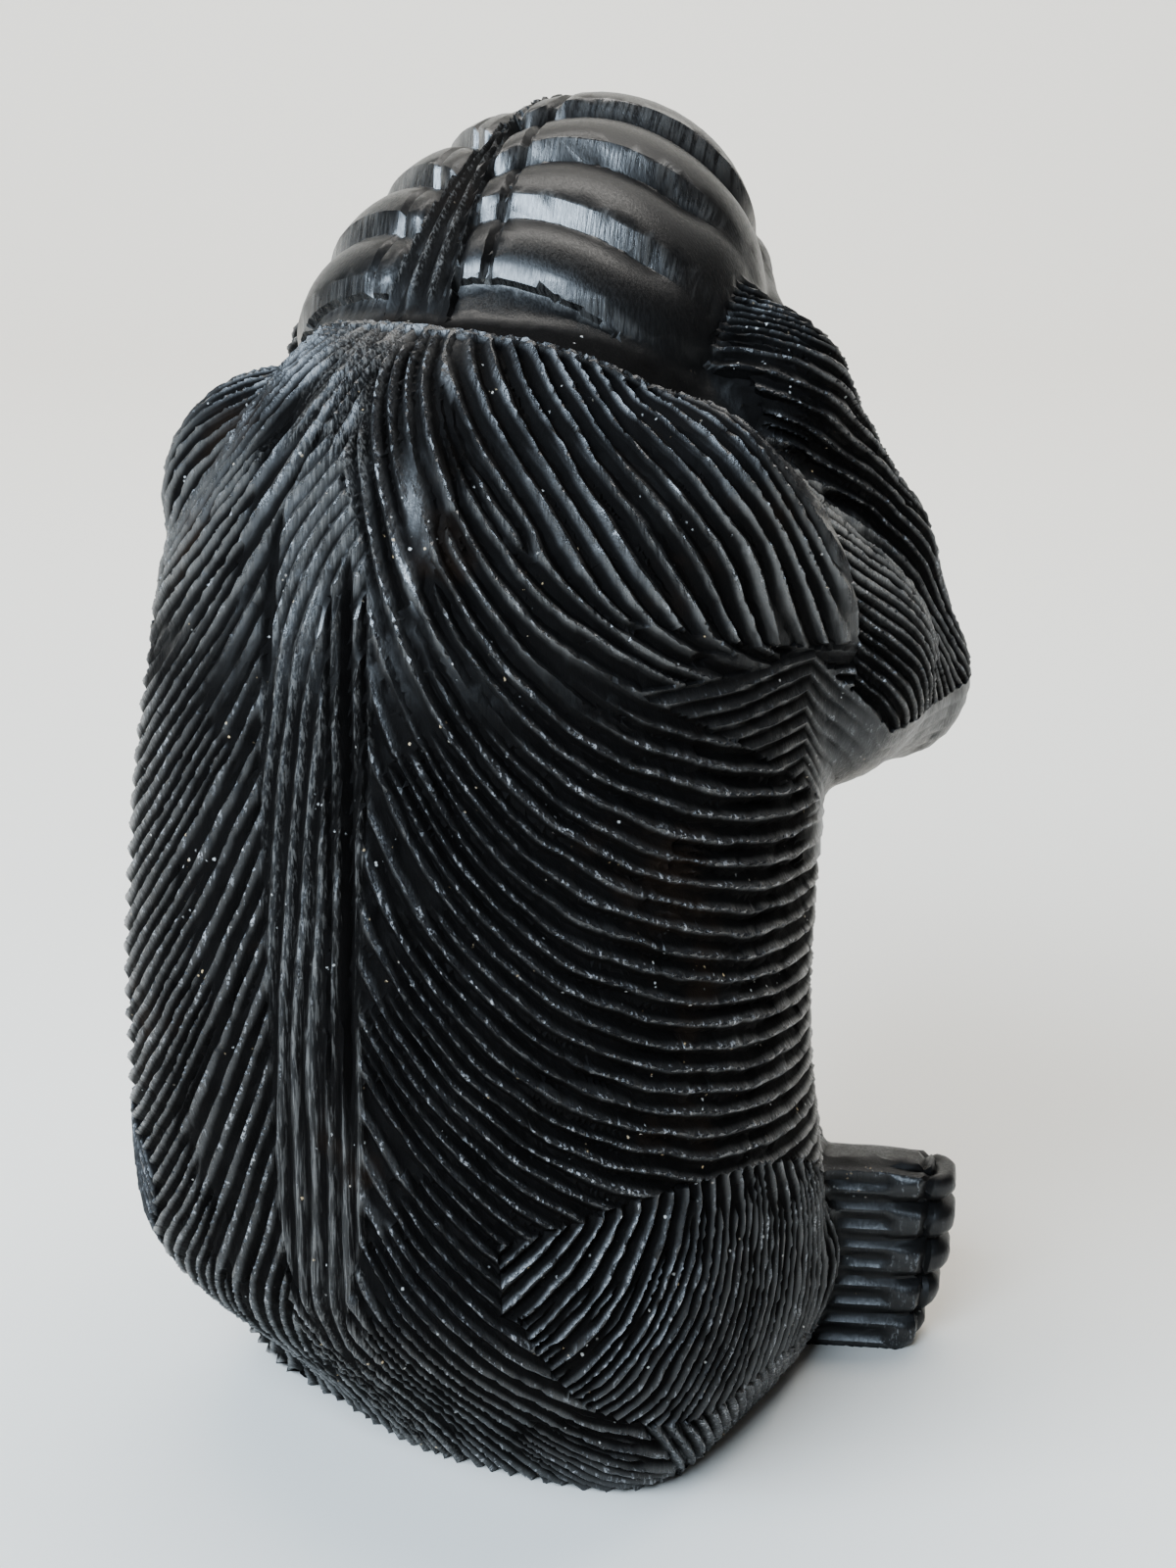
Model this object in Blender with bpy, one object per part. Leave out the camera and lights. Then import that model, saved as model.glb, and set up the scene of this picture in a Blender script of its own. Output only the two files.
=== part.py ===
"""A small seated monkey with its hands over its ears, carved from one block of black ebony.

The figure faces -Y, +Z is up and the origin is at the middle of its flat underside. Its form
is drawn in units of which UNITS_HIGH make the whole height, so every place below is a share of
HEIGHT. The sizes of the carving, such as the pitch of the fur locks, are real lengths.
"""

import bpy
import numpy as np
import openvdb

HEIGHT = 0.153
FUR_PITCH = 0.0046
FUR_DEPTH = 0.0015
SPINE_PITCH = 0.0031
SPINE_DEPTH = 0.0009
FINGER_DEPTH = 0.0024
NAIL_DEPTH = 0.0006
HAIR_DEPTH = 0.0012
TOE_DEPTH = 0.0017
TENDON_DEPTH = 0.0006
MOUTH_DEPTH = 0.0014
EBONY_COLOUR = (0.012, 0.011, 0.011, 1.0)
EBONY_ROUGHNESS = 0.38

UNITS_HIGH = 153.0
UNIT = HEIGHT / UNITS_HIGH
GRID_STEP = 1.15
GRID_LOW = (-62.0, -74.0, -5.0)
GRID_HIGH = (62.0, 56.0, 162.0)
FLAT_BELOW = 0.5
TRIANGLES = 9300

# Places and sizes in drawing units
TORSO_WIDE, TORSO_DEEP, TORSO_MIDDLE = 39.3, 40.5, 64.0
TORSO_UP, TORSO_DOWN = 65.5, 67.5
HEAD_CENTRE = (2.0, -20.0, 124.0)
HEAD_RADII = (27.5, 22.0, 33.5)
HEAD_TILT, HEAD_TURN, HEAD_ROLL = 52.0, 8.0, 11.0
FOOT_CENTRE, FOOT_HALF, FOOT_TURN = (35.0, -32.5, 11.0), (13.5, 4.8, 14.0), 20.0
FINGERS_RIGHT, RIGHT_SPREAD = (-14.5, -4.3, 3.0, 11.2, 19.5), (1.5, 3.0, 6.0, 7.5, 8.0)
FINGERS_LEFT, LEFT_SPREAD = (-15.2, -8.6, -1.6, 6.0, 13.5), (0.0, 0.5, 1.0, 0.0, 0.0)
UPPER_ARM = ((23.5, 0.0, 106.0), (30.0, -23.0, 88.0), (33.0, -42.5, 81.5)), (15.0, 15.0, 9.8)
ELBOW, WRIST = ((33.0, -45.0, 82.5), 9.0), ((20.5, -22.5, 125.0), 6.0)
FOREARM = (ELBOW[0], (30.5, -36.5, 98.0), (25.5, -21.0, 118.0), WRIST[0]), (ELBOW[1], 9.3, 9.8, WRIST[1])
SHIN = ((21.0, -30.0, 23.0), (17.0, -34.5, 10.0)), (10.0, 9.0)
LEG = ((19.0, 6.0, 12.0), (22.0, -10.0, 14.0), (24.0, -22.0, 13.0)), (13.0, 13.5, 12.5)
PALM = ((23.0, -2.0, -9.0), (19.0, -4.0, 2.0)), (8.2, 6.5)
THUMB = ((22.5, -5.0, -9.0), (21.0, -13.0, -1.0), (17.5, -20.5, 6.0)), (4.4, 4.2, 3.7)
BROW = ((0.0, -29.5, 6.5), (8.0, -28.5, 7.5), (15.0, -21.0, 4.0)), (4.0, 4.2, 3.5)
NOSE = ((0.0, -30.5, 4.0), (0.0, -36.5, -5.5)), (2.2, 3.2)
FACE_CENTRE, FACE_RADII = (0.0, -19.0, -6.0), (17.5, 13.0, 17.0)
SOCKET_CENTRE, SOCKET_RADII = (7.2, -34.5, 0.5), (5.0, 5.5, 4.4)
EYE_CENTRE, EYE_RADII = (7.2, -28.6, 0.5), (3.7, 3.2, 3.2)
MUZZLE_CENTRE, MUZZLE_RADII = (0.0, -28.5, -11.5), (11.5, 10.0, 8.6)
CHIN_CENTRE, CHIN_RADII = (0.0, -25.0, -19.0), (8.0, 7.0, 5.5)
FOOT_EDGE = 3.2
SHOULDER_LEVEL = 89.0
THIGH_TOP = 38.2


def ramp(x, low, high):
    t = np.clip((x - low) / (high - low), 0.0, 1.0)
    return t * t * (3.0 - 2.0 * t)


def smooth_min(a, b, k):
    h = np.clip(0.5 + 0.5 * (b - a) / k, 0.0, 1.0)
    return b + (a - b) * h - k * h * (1.0 - h)


def smooth_max(a, b, k):
    return -smooth_min(-a, -b, k)


def ball(p, centre, radii):
    """Distance to an ellipsoid, close to true near its surface."""
    q = p - np.array(centre)
    r = np.array(radii) * np.ones(3)
    k0 = np.sqrt(((q / r) ** 2).sum(-1))
    k1 = np.sqrt(((q / r**2) ** 2).sum(-1)) + 1e-9
    return k0 * (k0 - 1.0) / k1


def limb(p, points, radii, blend=3.0):
    """Distance to a chain of tapering round limbs."""
    found = None
    for a, b, ra, rb in zip(points, points[1:], radii, radii[1:]):
        a, b = np.array(a, float), np.array(b, float)
        along = ((p - a) @ (b - a)) / ((b - a) @ (b - a))
        t = np.clip(along, 0.0, 1.0)
        d = np.linalg.norm(p - a - t[..., None] * (b - a), axis=-1) - (ra + (rb - ra) * t)
        found = d if found is None else smooth_min(found, d, blend)
    return found


def mirrored(p):
    q = p.copy()
    q[..., 0] = np.abs(q[..., 0])
    return q


def turned(p, degrees):
    """p turned about Z, the other way round from the thing that it is measured against."""
    c, s = np.cos(np.radians(degrees)), np.sin(np.radians(degrees))
    x, y, z = p[..., 0], p[..., 1], p[..., 2]
    return np.stack((c * x - s * y, s * x + c * y, z), -1)


def tucked(p):
    """The left haunch is cut away further than the right one, as the carver left it."""
    x, y, z = p[..., 0], p[..., 1], p[..., 2]
    left = ramp(x, -8.0, 28.0) * (1.0 - ramp(z, 4.0, 50.0))
    low = 1.0 - ramp(z, 0.0, 20.0)
    shift = (8.0 + 3.0 * low) * left * ramp(y, -15.0, 20.0)
    return np.stack((x * (1.0 + (0.07 + 0.1 * low) * left), y + shift, z), -1)


def back_line(z):
    """How far the middle of the torso stands back at this height."""
    return 1.0 - 14.0 * ramp(z, 50.0, 135.0)


def torso(p):
    x, y, z = p[..., 0], p[..., 1] - back_line(p[..., 2]), p[..., 2]
    low = 1.0 - ramp(z, -2.0, 30.0)
    square = 4.5 - 1.2 * ramp(z, 0.0, 50.0) - 1.3 * ramp(z, 0.0, 12.0)
    deep = np.where(y > 0.0, TORSO_DEEP - 18.0 * low, TORSO_DEEP)
    wide = TORSO_WIDE * (1.0 - 0.3 * ramp(z, 98.0, 128.0))
    around = (np.abs(x / wide) ** square + np.abs(y / deep) ** square) ** (1.0 / square)
    n = np.where(z > TORSO_MIDDLE, 4.8, 6.0)
    reach = np.abs(z - TORSO_MIDDLE) / np.where(z > TORSO_MIDDLE, TORSO_UP, TORSO_DOWN)
    return ((around**n + reach**n) ** (1.0 / n) - 1.0) * 36.0


def head_frame(p):
    """Across the head, out of its back, and along it from the nape to the forehead."""
    q = turned(p - np.array(HEAD_CENTRE), -HEAD_TURN)
    c, s = np.cos(np.radians(HEAD_TILT)), np.sin(np.radians(HEAD_TILT))
    x, out, along = q[..., 0], c * q[..., 1] + s * q[..., 2], c * q[..., 2] - s * q[..., 1]
    c, s = np.cos(np.radians(HEAD_ROLL)), np.sin(np.radians(HEAD_ROLL))
    return np.stack((c * x + s * along, out, c * along - s * x), -1)


def skull(p):
    """The head with the hands on it, narrowing towards the forehead."""
    h = head_frame(p)
    narrow = 1.0 + np.where(h[..., 0] < 0.0, 0.16, 0.24) * ramp(h[..., 2], -12.0, 26.0)
    same = np.ones_like(narrow)
    return ball(h * np.stack((narrow, same, same), -1), (0.0, 0.0, 0.0), HEAD_RADII)


def face_frame(p):
    """Across, back and up from the middle of the head, the same on both sides."""
    return mirrored(turned(p - np.array(HEAD_CENTRE), -HEAD_TURN))


def hand(p):
    """The heel of the hand over the ear and the thumb in front of it."""
    q = face_frame(p)
    return smooth_min(limb(q, *PALM), limb(q, *THUMB), 1.0)


def face(p):
    """Brow, eyes and muzzle, in front of the hands."""
    q = face_frame(p)
    d = smooth_min(ball(q, FACE_CENTRE, FACE_RADII), limb(q, *BROW), 3.0)
    d = smooth_max(d, -ball(q, SOCKET_CENTRE, SOCKET_RADII), 1.5)
    d = smooth_min(d, ball(q, EYE_CENTRE, EYE_RADII), 0.4)
    d = smooth_min(d, ball(q, MUZZLE_CENTRE, MUZZLE_RADII), 3.5)
    d = smooth_min(d, limb(q, *NOSE), 2.5)
    return smooth_min(d, ball(q, CHIN_CENTRE, CHIN_RADII), 3.0)


def upper_arm(q):
    return limb(q, *UPPER_ARM)


def forearm(q):
    return limb(q, *FOREARM)


def leg(q):
    return limb(q, *LEG)


def foot_frame(q):
    return turned(q - np.array(FOOT_CENTRE), FOOT_TURN)


def foot(q):
    """A slab on its outer edge, sole forward and toes out, shorter at the little toe."""
    f = foot_frame(q)
    half = np.array(FOOT_HALF) - np.stack(
        (1.0 + 0.012 * (f[..., 2] - 8.0) ** 2, 0.0 * f[..., 0], 0.0 * f[..., 0]), -1
    )
    d = np.abs(f) - half + FOOT_EDGE
    return np.linalg.norm(np.maximum(d, 0.0), axis=-1) + np.minimum(d.max(-1), 0.0) - FOOT_EDGE


def uncut_form(p):
    """Distance to the whole figure before its underside is cut flat."""
    p = tucked(p)
    q = mirrored(p)
    d = smooth_min(torso(p), leg(q), 1.5)
    d = smooth_min(d, limb(q, *SHIN), 3.0)
    d = smooth_min(d, foot(q), 1.0)
    hands = smooth_min(hand(p), forearm(q), 2.0)
    d = smooth_min(d, smooth_min(upper_arm(q), hands, 2.0), 1.5)
    head = smooth_min(skull(p), face(p), 2.0)
    return smooth_min(d, smooth_min(head, hand(p), 2.0), 0.6)


def form(p):
    return np.maximum(uncut_form(p), -p[..., 2])


def wave(level, pitch):
    """1 on a ridge and 0 in the valley between two ridges."""
    t = level / pitch
    return np.abs(2.0 * (t - np.floor(t)) - 1.0)


def locks(level, p, normal, pitch):
    """Fur locks along the lines of equal level, with every second one ending where they crowd."""
    step = 0.2
    rise = np.stack([level(p + step * axis) - level(p - step * axis) for axis in np.eye(3)], -1)
    rise = rise / (2.0 * step)
    rise = rise - (rise * normal).sum(-1, keepdims=True) * normal
    crowd = np.log2(np.linalg.norm(rise, axis=-1) + 0.05) + 0.35
    whole = np.clip(np.floor(crowd), -1.0, 2.0)
    mix = ramp(crowd - whole, 0.55, 0.95)
    wide = pitch * 2.0**whole
    value = level(p)
    return (1.0 - mix) * wave(value, wide) + mix * wave(value, 2.0 * wide)


def arc_of(p):
    """Distance round the torso from the spine."""
    return TORSO_DEEP * np.arctan2(np.abs(p[..., 0]), p[..., 1] - back_line(p[..., 2]))


def back_level(p):
    """Locks leave the spine steeply and run level round the flanks, and fan over the shoulder."""
    arc, z = arc_of(p), p[..., 2]
    flank = z - 58.0 * np.exp(-arc / 20.0)
    shoulder = SHOULDER_LEVEL + 0.8 * (z + 1.25 * arc - 137.2)
    mix = ramp(flank, SHOULDER_LEVEL - 3.0, SHOULDER_LEVEL + 3.0) * (z > 75.0)
    return flank + (shoulder - flank) * mix


def armpit_level(p):
    return p[..., 2] + 0.15 * arc_of(p)


def thigh_level(p):
    """Locks fan down and back from the top of the thigh."""
    drop = np.maximum(THIGH_TOP - p[..., 2], 0.0)
    return (arc_of(p) + 2.5 * drop + 0.0215 * drop**2) / (1.0 + 0.05 * drop)


def seat_level(p):
    return arc_of(p) + 0.9 * p[..., 2]


def forearm_level(p):
    return 0.79 * p[..., 2] - 0.62 * p[..., 1]


def body_cut(p, normal, on_arm):
    """The torso with the shoulder, the armpit, the thigh and the seat as fields of their own."""
    arc, z = arc_of(p), p[..., 2]
    y = p[..., 1] - back_line(z)
    pitch = FUR_PITCH / UNIT
    arm_line = 99.0 - 9.0 * ramp(arc, 54.0, 72.0) - 0.3 * np.maximum(arc - 72.0, 0.0)
    armpit_line = np.where(on_arm, 0.0, 95.2 - 0.48 * (arc - 31.6))
    armpit = (z < arm_line) & (z > armpit_line) & (arc > 31.0) & ((arc < 75.0) | on_arm)
    thigh_top = THIGH_TOP - 4.0 * ((arc - 52.0) / 28.0) ** 2
    thigh_low = 10.5 + 18.0 * np.exp(-(arc - 26.0) / 7.0) - 0.3 * np.maximum(arc - 70.0, 0.0)
    thigh = (z < thigh_top) & (z > thigh_low) & (arc > 24.0) & (arc < 95.0)
    seat = (z <= thigh_low) & (arc > 24.0) & (arc < 95.0)
    depth = FUR_DEPTH * np.where(z > arm_line, 1.3, 1.0)
    cut = depth * (1.0 - locks(back_level, p, normal, pitch))
    cut = np.where(armpit, FUR_DEPTH * (0.7 - locks(armpit_level, p, normal, pitch)), cut)
    cut = np.where(thigh, FUR_DEPTH * (0.8 - locks(thigh_level, p, normal, pitch)), cut)
    cut = np.where(seat, FUR_DEPTH * (0.5 - locks(seat_level, p, normal, pitch)), cut)
    band = 1.0 + 5.3 * ramp(z, 12.0, 40.0) * (1.0 - ramp(z, 92.0, 122.0))
    spine = SPINE_DEPTH * (1.3 - wave(p[..., 0], SPINE_PITCH / UNIT))
    inside = ramp(band - np.abs(p[..., 0]), -0.6, 0.6) * (y > 0.0)
    return cut * (1.0 - inside) + spine * inside


def forearm_cut(q, normal):
    return FUR_DEPTH * (1.0 - locks(forearm_level, q, normal, FUR_PITCH / UNIT))


def foot_cut(q):
    """Five toes at the outer end of the foot and tendons along it."""
    f = foot_frame(q)
    toe = (f[..., 2] + 11.5) / 5.0
    across = 2.0 * (toe - np.floor(toe)) - 1.0
    toes = TOE_DEPTH * np.abs(across) ** 3 * ramp(f[..., 0], 1.0, 7.0)
    tendons = TENDON_DEPTH * (1.0 - wave(f[..., 2], 2.5)) * (1.0 - ramp(f[..., 0], 3.0, 5.0))
    nail = NAIL_DEPTH * (np.abs(f[..., 0] - 9.0) < 0.6)
    return toes + tendons + nail


def finger_edge(aside, side, rank):
    """Where one finger meets the next, at this distance from the parting."""
    spread = 1.0 - np.exp(-np.maximum(aside - 2.0, 0.0) / 4.0)
    right = FINGERS_RIGHT[rank] + RIGHT_SPREAD[rank] * spread
    left = FINGERS_LEFT[rank] + LEFT_SPREAD[rank] * spread
    return np.where(side < 0.0, right, left)


def skull_cut(p):
    """Fingers laid across the back of the head, with the parting of the hair between them."""
    h = head_frame(p)
    out, along = h[..., 1], h[..., 2]
    side = h[..., 0] - 5.0 - 3.8 * ramp(along, 4.0, 18.0)
    aside = np.abs(side)
    half = np.clip(1.9 - 0.2 * along, 0.8, 5.0)
    tip = aside - half
    knuckle = 1.0 - 0.8 * ramp(aside, 17.0, 26.0)
    edges = [finger_edge(aside, side, rank) for rank in range(5)]
    cut = np.full_like(side, 0.8 * FINGER_DEPTH)
    for low, high in zip(edges, edges[1:]):
        across = (along - low) / (high - low)
        within = (across >= 0.0) & (across < 1.0)
        cut = np.where(within, FINGER_DEPTH * np.abs(2.0 * across - 1.0) ** 3 * knuckle, cut)
    cut = cut + 0.5 * FINGER_DEPTH * (1.0 - ramp(tip, 0.0, 2.0))
    cut = cut + NAIL_DEPTH * (np.abs(tip - 4.5) < 0.6)
    hair = HAIR_DEPTH * (1.0 - wave(side + half, half)) + 0.5 * FINGER_DEPTH
    parting = (tip < 0.0) & (along < 26.0) & (along > -17.0)
    cut = np.where(parting, hair, cut)
    return cut * ramp(out, -8.0, 0.0)


def face_cut(p):
    """Mouth and nostrils."""
    q = face_frame(p)
    x, y, z = q[..., 0], q[..., 1], q[..., 2]
    line = -14.0 + 0.012 * x**2
    mouth = MOUTH_DEPTH * (1.0 - ramp(np.abs(z - line), 0.5, 1.5)) * (1.0 - ramp(x, 8.0, 10.0))
    nostril = MOUTH_DEPTH * (1.0 - ramp(np.hypot(x - 2.6, z + 7.5), 0.8, 1.9))
    return (mouth + nostril) * (y < -30.0)


def carved(p, normal):
    """How deep the carving goes at each point of the smooth form, in units."""
    p = tucked(p)
    q = mirrored(p)
    flip = normal.copy()
    flip[:, 0] = np.where(p[:, 0] < 0.0, -flip[:, 0], flip[:, 0])
    regions = (
        (torso(p), body_cut(q, flip, False)),
        (leg(q), body_cut(q, flip, False)),
        (limb(q, *SHIN), 0.3 * body_cut(q, flip, False)),
        (upper_arm(q), body_cut(q, flip, True)),
        (forearm(q), forearm_cut(q, flip)),
        (foot(q), foot_cut(q)),
        (skull(p), skull_cut(p)),
        (face(p), face_cut(p)),
        (hand(p), 0.0),
    )
    nearest = np.min([d for d, _ in regions], axis=0)
    total, weight = 0.0, 0.0
    for d, cut in regions:
        share = np.exp(-(d - nearest) / 0.5)
        total = total + share * cut
        weight = weight + share
    return total / weight / UNIT


def outward(fn, p, step=0.05):
    """Unit normals of the form that fn gives."""
    rise = np.stack([fn(p + step * axis) - fn(p - step * axis) for axis in np.eye(3)], -1)
    return rise / (np.linalg.norm(rise, axis=-1, keepdims=True) + 1e-9)


def skin(step):
    """Points and quads of the smooth form on a grid of this step."""
    axes = [np.arange(low, high + step, step) for low, high in zip(GRID_LOW, GRID_HIGH)]
    slices = [np.stack(np.meshgrid([x], *axes[1:], indexing="ij"), -1) for x in axes[0]]
    values = np.concatenate([form(slice_points) for slice_points in slices])
    grid = openvdb.FloatGrid(background=10.0)
    grid.copyFromArray(values.astype(np.float32))
    points, triangles, quads = grid.convertToPolygons(isovalue=0.0, adaptivity=0.0)
    return points * step + np.array(GRID_LOW), quads.tolist() + triangles.tolist()


def carve(points):
    """The smooth form's points moved in by the carving, with the underside kept flat."""
    for _ in range(3):
        points = points - 0.9 * form(points)[:, None] * outward(form, points)
    rim = 1.0 - ramp(-uncut_form(points), 0.3, 1.2)
    normals = outward(uncut_form, points)
    points = points - (carved(points, normals) * rim)[:, None] * normals
    points[points[:, 2] < FLAT_BELOW, 2] = 0.0
    return points


def ebony():
    material = bpy.data.materials.new("ebony")
    material.use_nodes = True
    shader = material.node_tree.nodes["Principled BSDF"]
    shader.inputs["Base Color"].default_value = EBONY_COLOUR
    shader.inputs["Roughness"].default_value = EBONY_ROUGHNESS
    shader.inputs["Metallic"].default_value = 0.0
    return material


def coarse_mesh(fine):
    """The carved surface with fewer triangles."""
    form_object = bpy.data.objects.new("form", fine)
    bpy.context.scene.collection.objects.link(form_object)
    facets = form_object.modifiers.new("facets", "DECIMATE")
    facets.ratio = TRIANGLES / (2.0 * len(fine.polygons))
    graph = bpy.context.evaluated_depsgraph_get()
    mesh = bpy.data.meshes.new_from_object(form_object.evaluated_get(graph))
    bpy.data.objects.remove(form_object)
    return mesh


def make_monkey():
    points, faces = skin(GRID_STEP)
    fine = bpy.data.meshes.new("fine")
    fine.from_pydata(carve(points).tolist(), [], faces)
    mesh = coarse_mesh(fine)
    mesh.name = "monkey"
    mesh.materials.append(ebony())
    points = np.array([vertex.co[:] for vertex in mesh.vertices])
    points[points[:, 2] < FLAT_BELOW, 2] = 0.0
    low, high = points.min(0), points.max(0)
    points[:, :2] -= (low + high)[:2] / 2.0
    points *= HEIGHT / high[2]
    mesh.vertices.foreach_set("co", points.astype(np.float32).ravel())
    mesh.update()
    monkey = bpy.data.objects.new("monkey", mesh)
    bpy.context.scene.collection.objects.link(monkey)
    return monkey


for old in list(bpy.data.objects):
    bpy.data.objects.remove(old)
make_monkey()
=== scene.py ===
"""The looks of a small seated monkey carved from one block of black ebony, hands over its ears.

The carving is drawn in units of about a millimetre, with the figure facing -Y and +Z up. Its
smooth form is a distance function. The furrows, fingers and toes are cut into the form's skin
along its normals, and the skin is then fitted to the box of the solid that it stands for.
"""

import math

import bpy
import numpy as np
import openvdb
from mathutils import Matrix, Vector


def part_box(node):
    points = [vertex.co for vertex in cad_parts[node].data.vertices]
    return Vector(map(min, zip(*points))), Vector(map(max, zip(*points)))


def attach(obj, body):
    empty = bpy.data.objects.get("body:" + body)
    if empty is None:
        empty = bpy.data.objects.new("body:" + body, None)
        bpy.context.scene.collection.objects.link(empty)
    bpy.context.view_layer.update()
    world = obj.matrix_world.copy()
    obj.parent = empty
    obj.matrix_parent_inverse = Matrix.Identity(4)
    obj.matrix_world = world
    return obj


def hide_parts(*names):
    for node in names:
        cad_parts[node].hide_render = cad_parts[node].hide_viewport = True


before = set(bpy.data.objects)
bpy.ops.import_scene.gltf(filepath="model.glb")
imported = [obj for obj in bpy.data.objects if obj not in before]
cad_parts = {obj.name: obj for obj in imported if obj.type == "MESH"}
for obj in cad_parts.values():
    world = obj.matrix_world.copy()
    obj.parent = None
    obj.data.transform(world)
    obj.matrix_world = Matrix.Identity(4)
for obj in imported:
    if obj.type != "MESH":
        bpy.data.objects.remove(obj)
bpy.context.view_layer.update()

# Places and sizes of the smooth form, in drawing units. A limb is its points and their radii.
# A pair named for heights, or for a way along or across, is where a change starts and is done.
TORSO_WIDE, TORSO_DEEP, TORSO_MIDDLE = 39.3, 40.5, 64.0
TORSO_UP, TORSO_DOWN, TORSO_MEAN = 65.5, 67.5, 36.0
TORSO_TOP_SQUARE, TORSO_LOW_SQUARE = 4.8, 6.0
SEAT_SQUARE, SEAT_ROUNDER, BODY_ROUNDER = 4.5, 1.3, 1.2
SEAT_ROUND_HEIGHTS, BODY_ROUND_HEIGHTS = (0.0, 12.0), (0.0, 50.0)
SEAT_SLOPE, SEAT_HEIGHTS = 18.0, (-2.0, 30.0)
SHOULDER_NARROW, SHOULDER_HEIGHTS = 0.3, (98.0, 128.0)
BACK_PLACE, BACK_LEAN, BACK_HEIGHTS = 1.0, 14.0, (50.0, 135.0)
TUCK_FORWARD, TUCK_FORWARD_LOW = 8.0, 3.0
TUCK_IN, TUCK_IN_LOW = 0.07, 0.1
TUCK_ACROSS, TUCK_ALONG = (-8.0, 28.0), (-15.0, 20.0)
TUCK_HEIGHTS, TUCK_LOW_HEIGHTS = (4.0, 50.0), (0.0, 20.0)
HEAD_CENTRE = (2.0, -20.0, 124.0)
HEAD_RADII = (27.5, 22.0, 33.5)
HEAD_TILT, HEAD_TURN, HEAD_ROLL = 52.0, 8.0, 11.0
HEAD_NARROW_RIGHT, HEAD_NARROW_LEFT, HEAD_NARROW_ALONG = 0.16, 0.24, (-12.0, 26.0)
FOOT_CENTRE, FOOT_HALF, FOOT_TURN = (35.0, -32.5, 11.0), (13.5, 4.8, 14.0), 20.0
FOOT_EDGE = 3.2
TOES_SHORT, TOES_CURVE, LONGEST_TOE = 1.0, 0.012, 8.0
UPPER_ARM = ((23.5, 0.0, 106.0), (30.0, -23.0, 88.0), (33.0, -42.5, 81.5)), (15.0, 15.0, 9.8)
ELBOW, WRIST = ((33.0, -45.0, 82.5), 9.0), ((20.5, -22.5, 125.0), 6.0)
FOREARM_POINTS = (ELBOW[0], (30.5, -36.5, 98.0), (25.5, -21.0, 118.0), WRIST[0])
FOREARM = FOREARM_POINTS, (ELBOW[1], 9.3, 9.8, WRIST[1])
SHIN = ((21.0, -30.0, 23.0), (17.0, -34.5, 10.0)), (10.0, 9.0)
LEG = ((19.0, 6.0, 12.0), (22.0, -10.0, 14.0), (24.0, -22.0, 13.0)), (13.0, 13.5, 12.5)
PALM = ((23.0, -2.0, -9.0), (19.0, -4.0, 2.0)), (8.2, 6.5)
THUMB = ((22.5, -5.0, -9.0), (21.0, -13.0, -1.0), (17.5, -20.5, 6.0)), (4.4, 4.2, 3.7)
BROW = ((0.0, -29.5, 6.5), (8.0, -28.5, 7.5), (15.0, -21.0, 4.0)), (4.0, 4.2, 3.5)
NOSE = ((0.0, -30.5, 4.0), (0.0, -36.5, -5.5)), (2.2, 3.2)
FACE_CENTRE, FACE_RADII = (0.0, -19.0, -6.0), (17.5, 13.0, 17.0)
SOCKET_CENTRE, SOCKET_RADII = (7.2, -34.5, 0.5), (5.0, 5.5, 4.4)
EYE_CENTRE, EYE_RADII = (7.2, -28.6, 0.5), (3.7, 3.2, 3.2)
MUZZLE_CENTRE, MUZZLE_RADII = (0.0, -28.5, -11.5), (11.5, 10.0, 8.6)
CHIN_CENTRE, CHIN_RADII = (0.0, -25.0, -19.0), (8.0, 7.0, 5.5)

# How widely the forms melt into each other
LIMB_BLEND = 3.0
LEG_BLEND, SHIN_BLEND, FOOT_BLEND = 1.5, 3.0, 1.0
SHOULDER_BLEND, ARM_BLEND, THUMB_BLEND = 1.5, 2.0, 1.0
HEAD_BLEND, NECK_BLEND = 2.0, 0.6
BROW_BLEND, SOCKET_BLEND, EYE_BLEND = 3.0, 1.5, 0.4
MUZZLE_BLEND, NOSE_BLEND, CHIN_BLEND = 3.5, 2.5, 3.0

# A wobble is how far it goes each way, the size of its waves and the seed of its noise
CROWD_WOBBLE = 0.25, 5.0, 11
LOCK_SWAY, LOCK_TREMOR = (0.4, 7.0, 12), (0.16, 2.2, 13)
LOCK_DEPTHS = 0.35, 6.0, 14
STRAND_SWAY, STRAND_FIBRE = (0.5, (3.0, 3.0, 14.0), 21), (0.15, (1.5, 2.0, 9.0), 22)
GROOVE_SWAY = 0.3, 12.0, 23
LEDGE_WOBBLE = 0.1, (1.2, 1.2, 0.8), 24
UNDERARM_SWAY = 0.35, 7.0, 25
HEEL_WOBBLE = 0.06, (1.4, 1.4, 0.9), 26
SKIN_WOBBLE = 0.07, 1.0, 31

# Locks of fur: V-furrows with one long flank. The lean is the share of the pitch that the flank
# above the ridge takes, and two locks become one where the lines of equal level crowd.
FUR_PITCH, FUR_DEPTH, FUR_POWER = 2.2, 1.2, 1.1
LEAN_UP, LEAN_DOWN, LEFT_LEAN, FOREARM_LEAN, EVEN_LEAN = 0.64, 0.4, 0.36, 0.66, 0.5
LEAST_RISE, CROWD_SHIFT, MERGE_SHARES = 0.05, 0.05, (0.7, 0.95)
COARSEST, FINEST = 2.0, -1.0
LOCK_APART = (7.3, 3.1, 11.7)
NICK_SIZE, NICK_SEED, NICK_FROM, NICK_DEPTH = (0.9, 0.9, 3.5), 15, 0.25, 0.35
BACK_PITCH, LEFT_PITCH = 1.12, 1.1
FLUTE_PITCH, FLUTE_POWER, FLUTE_DEPTH = 1.3, 1.5, 1.15
FLUTE_HEIGHTS, FLUTE_ARCS = (84.0, 104.0), (4.0, 14.0)

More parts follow.
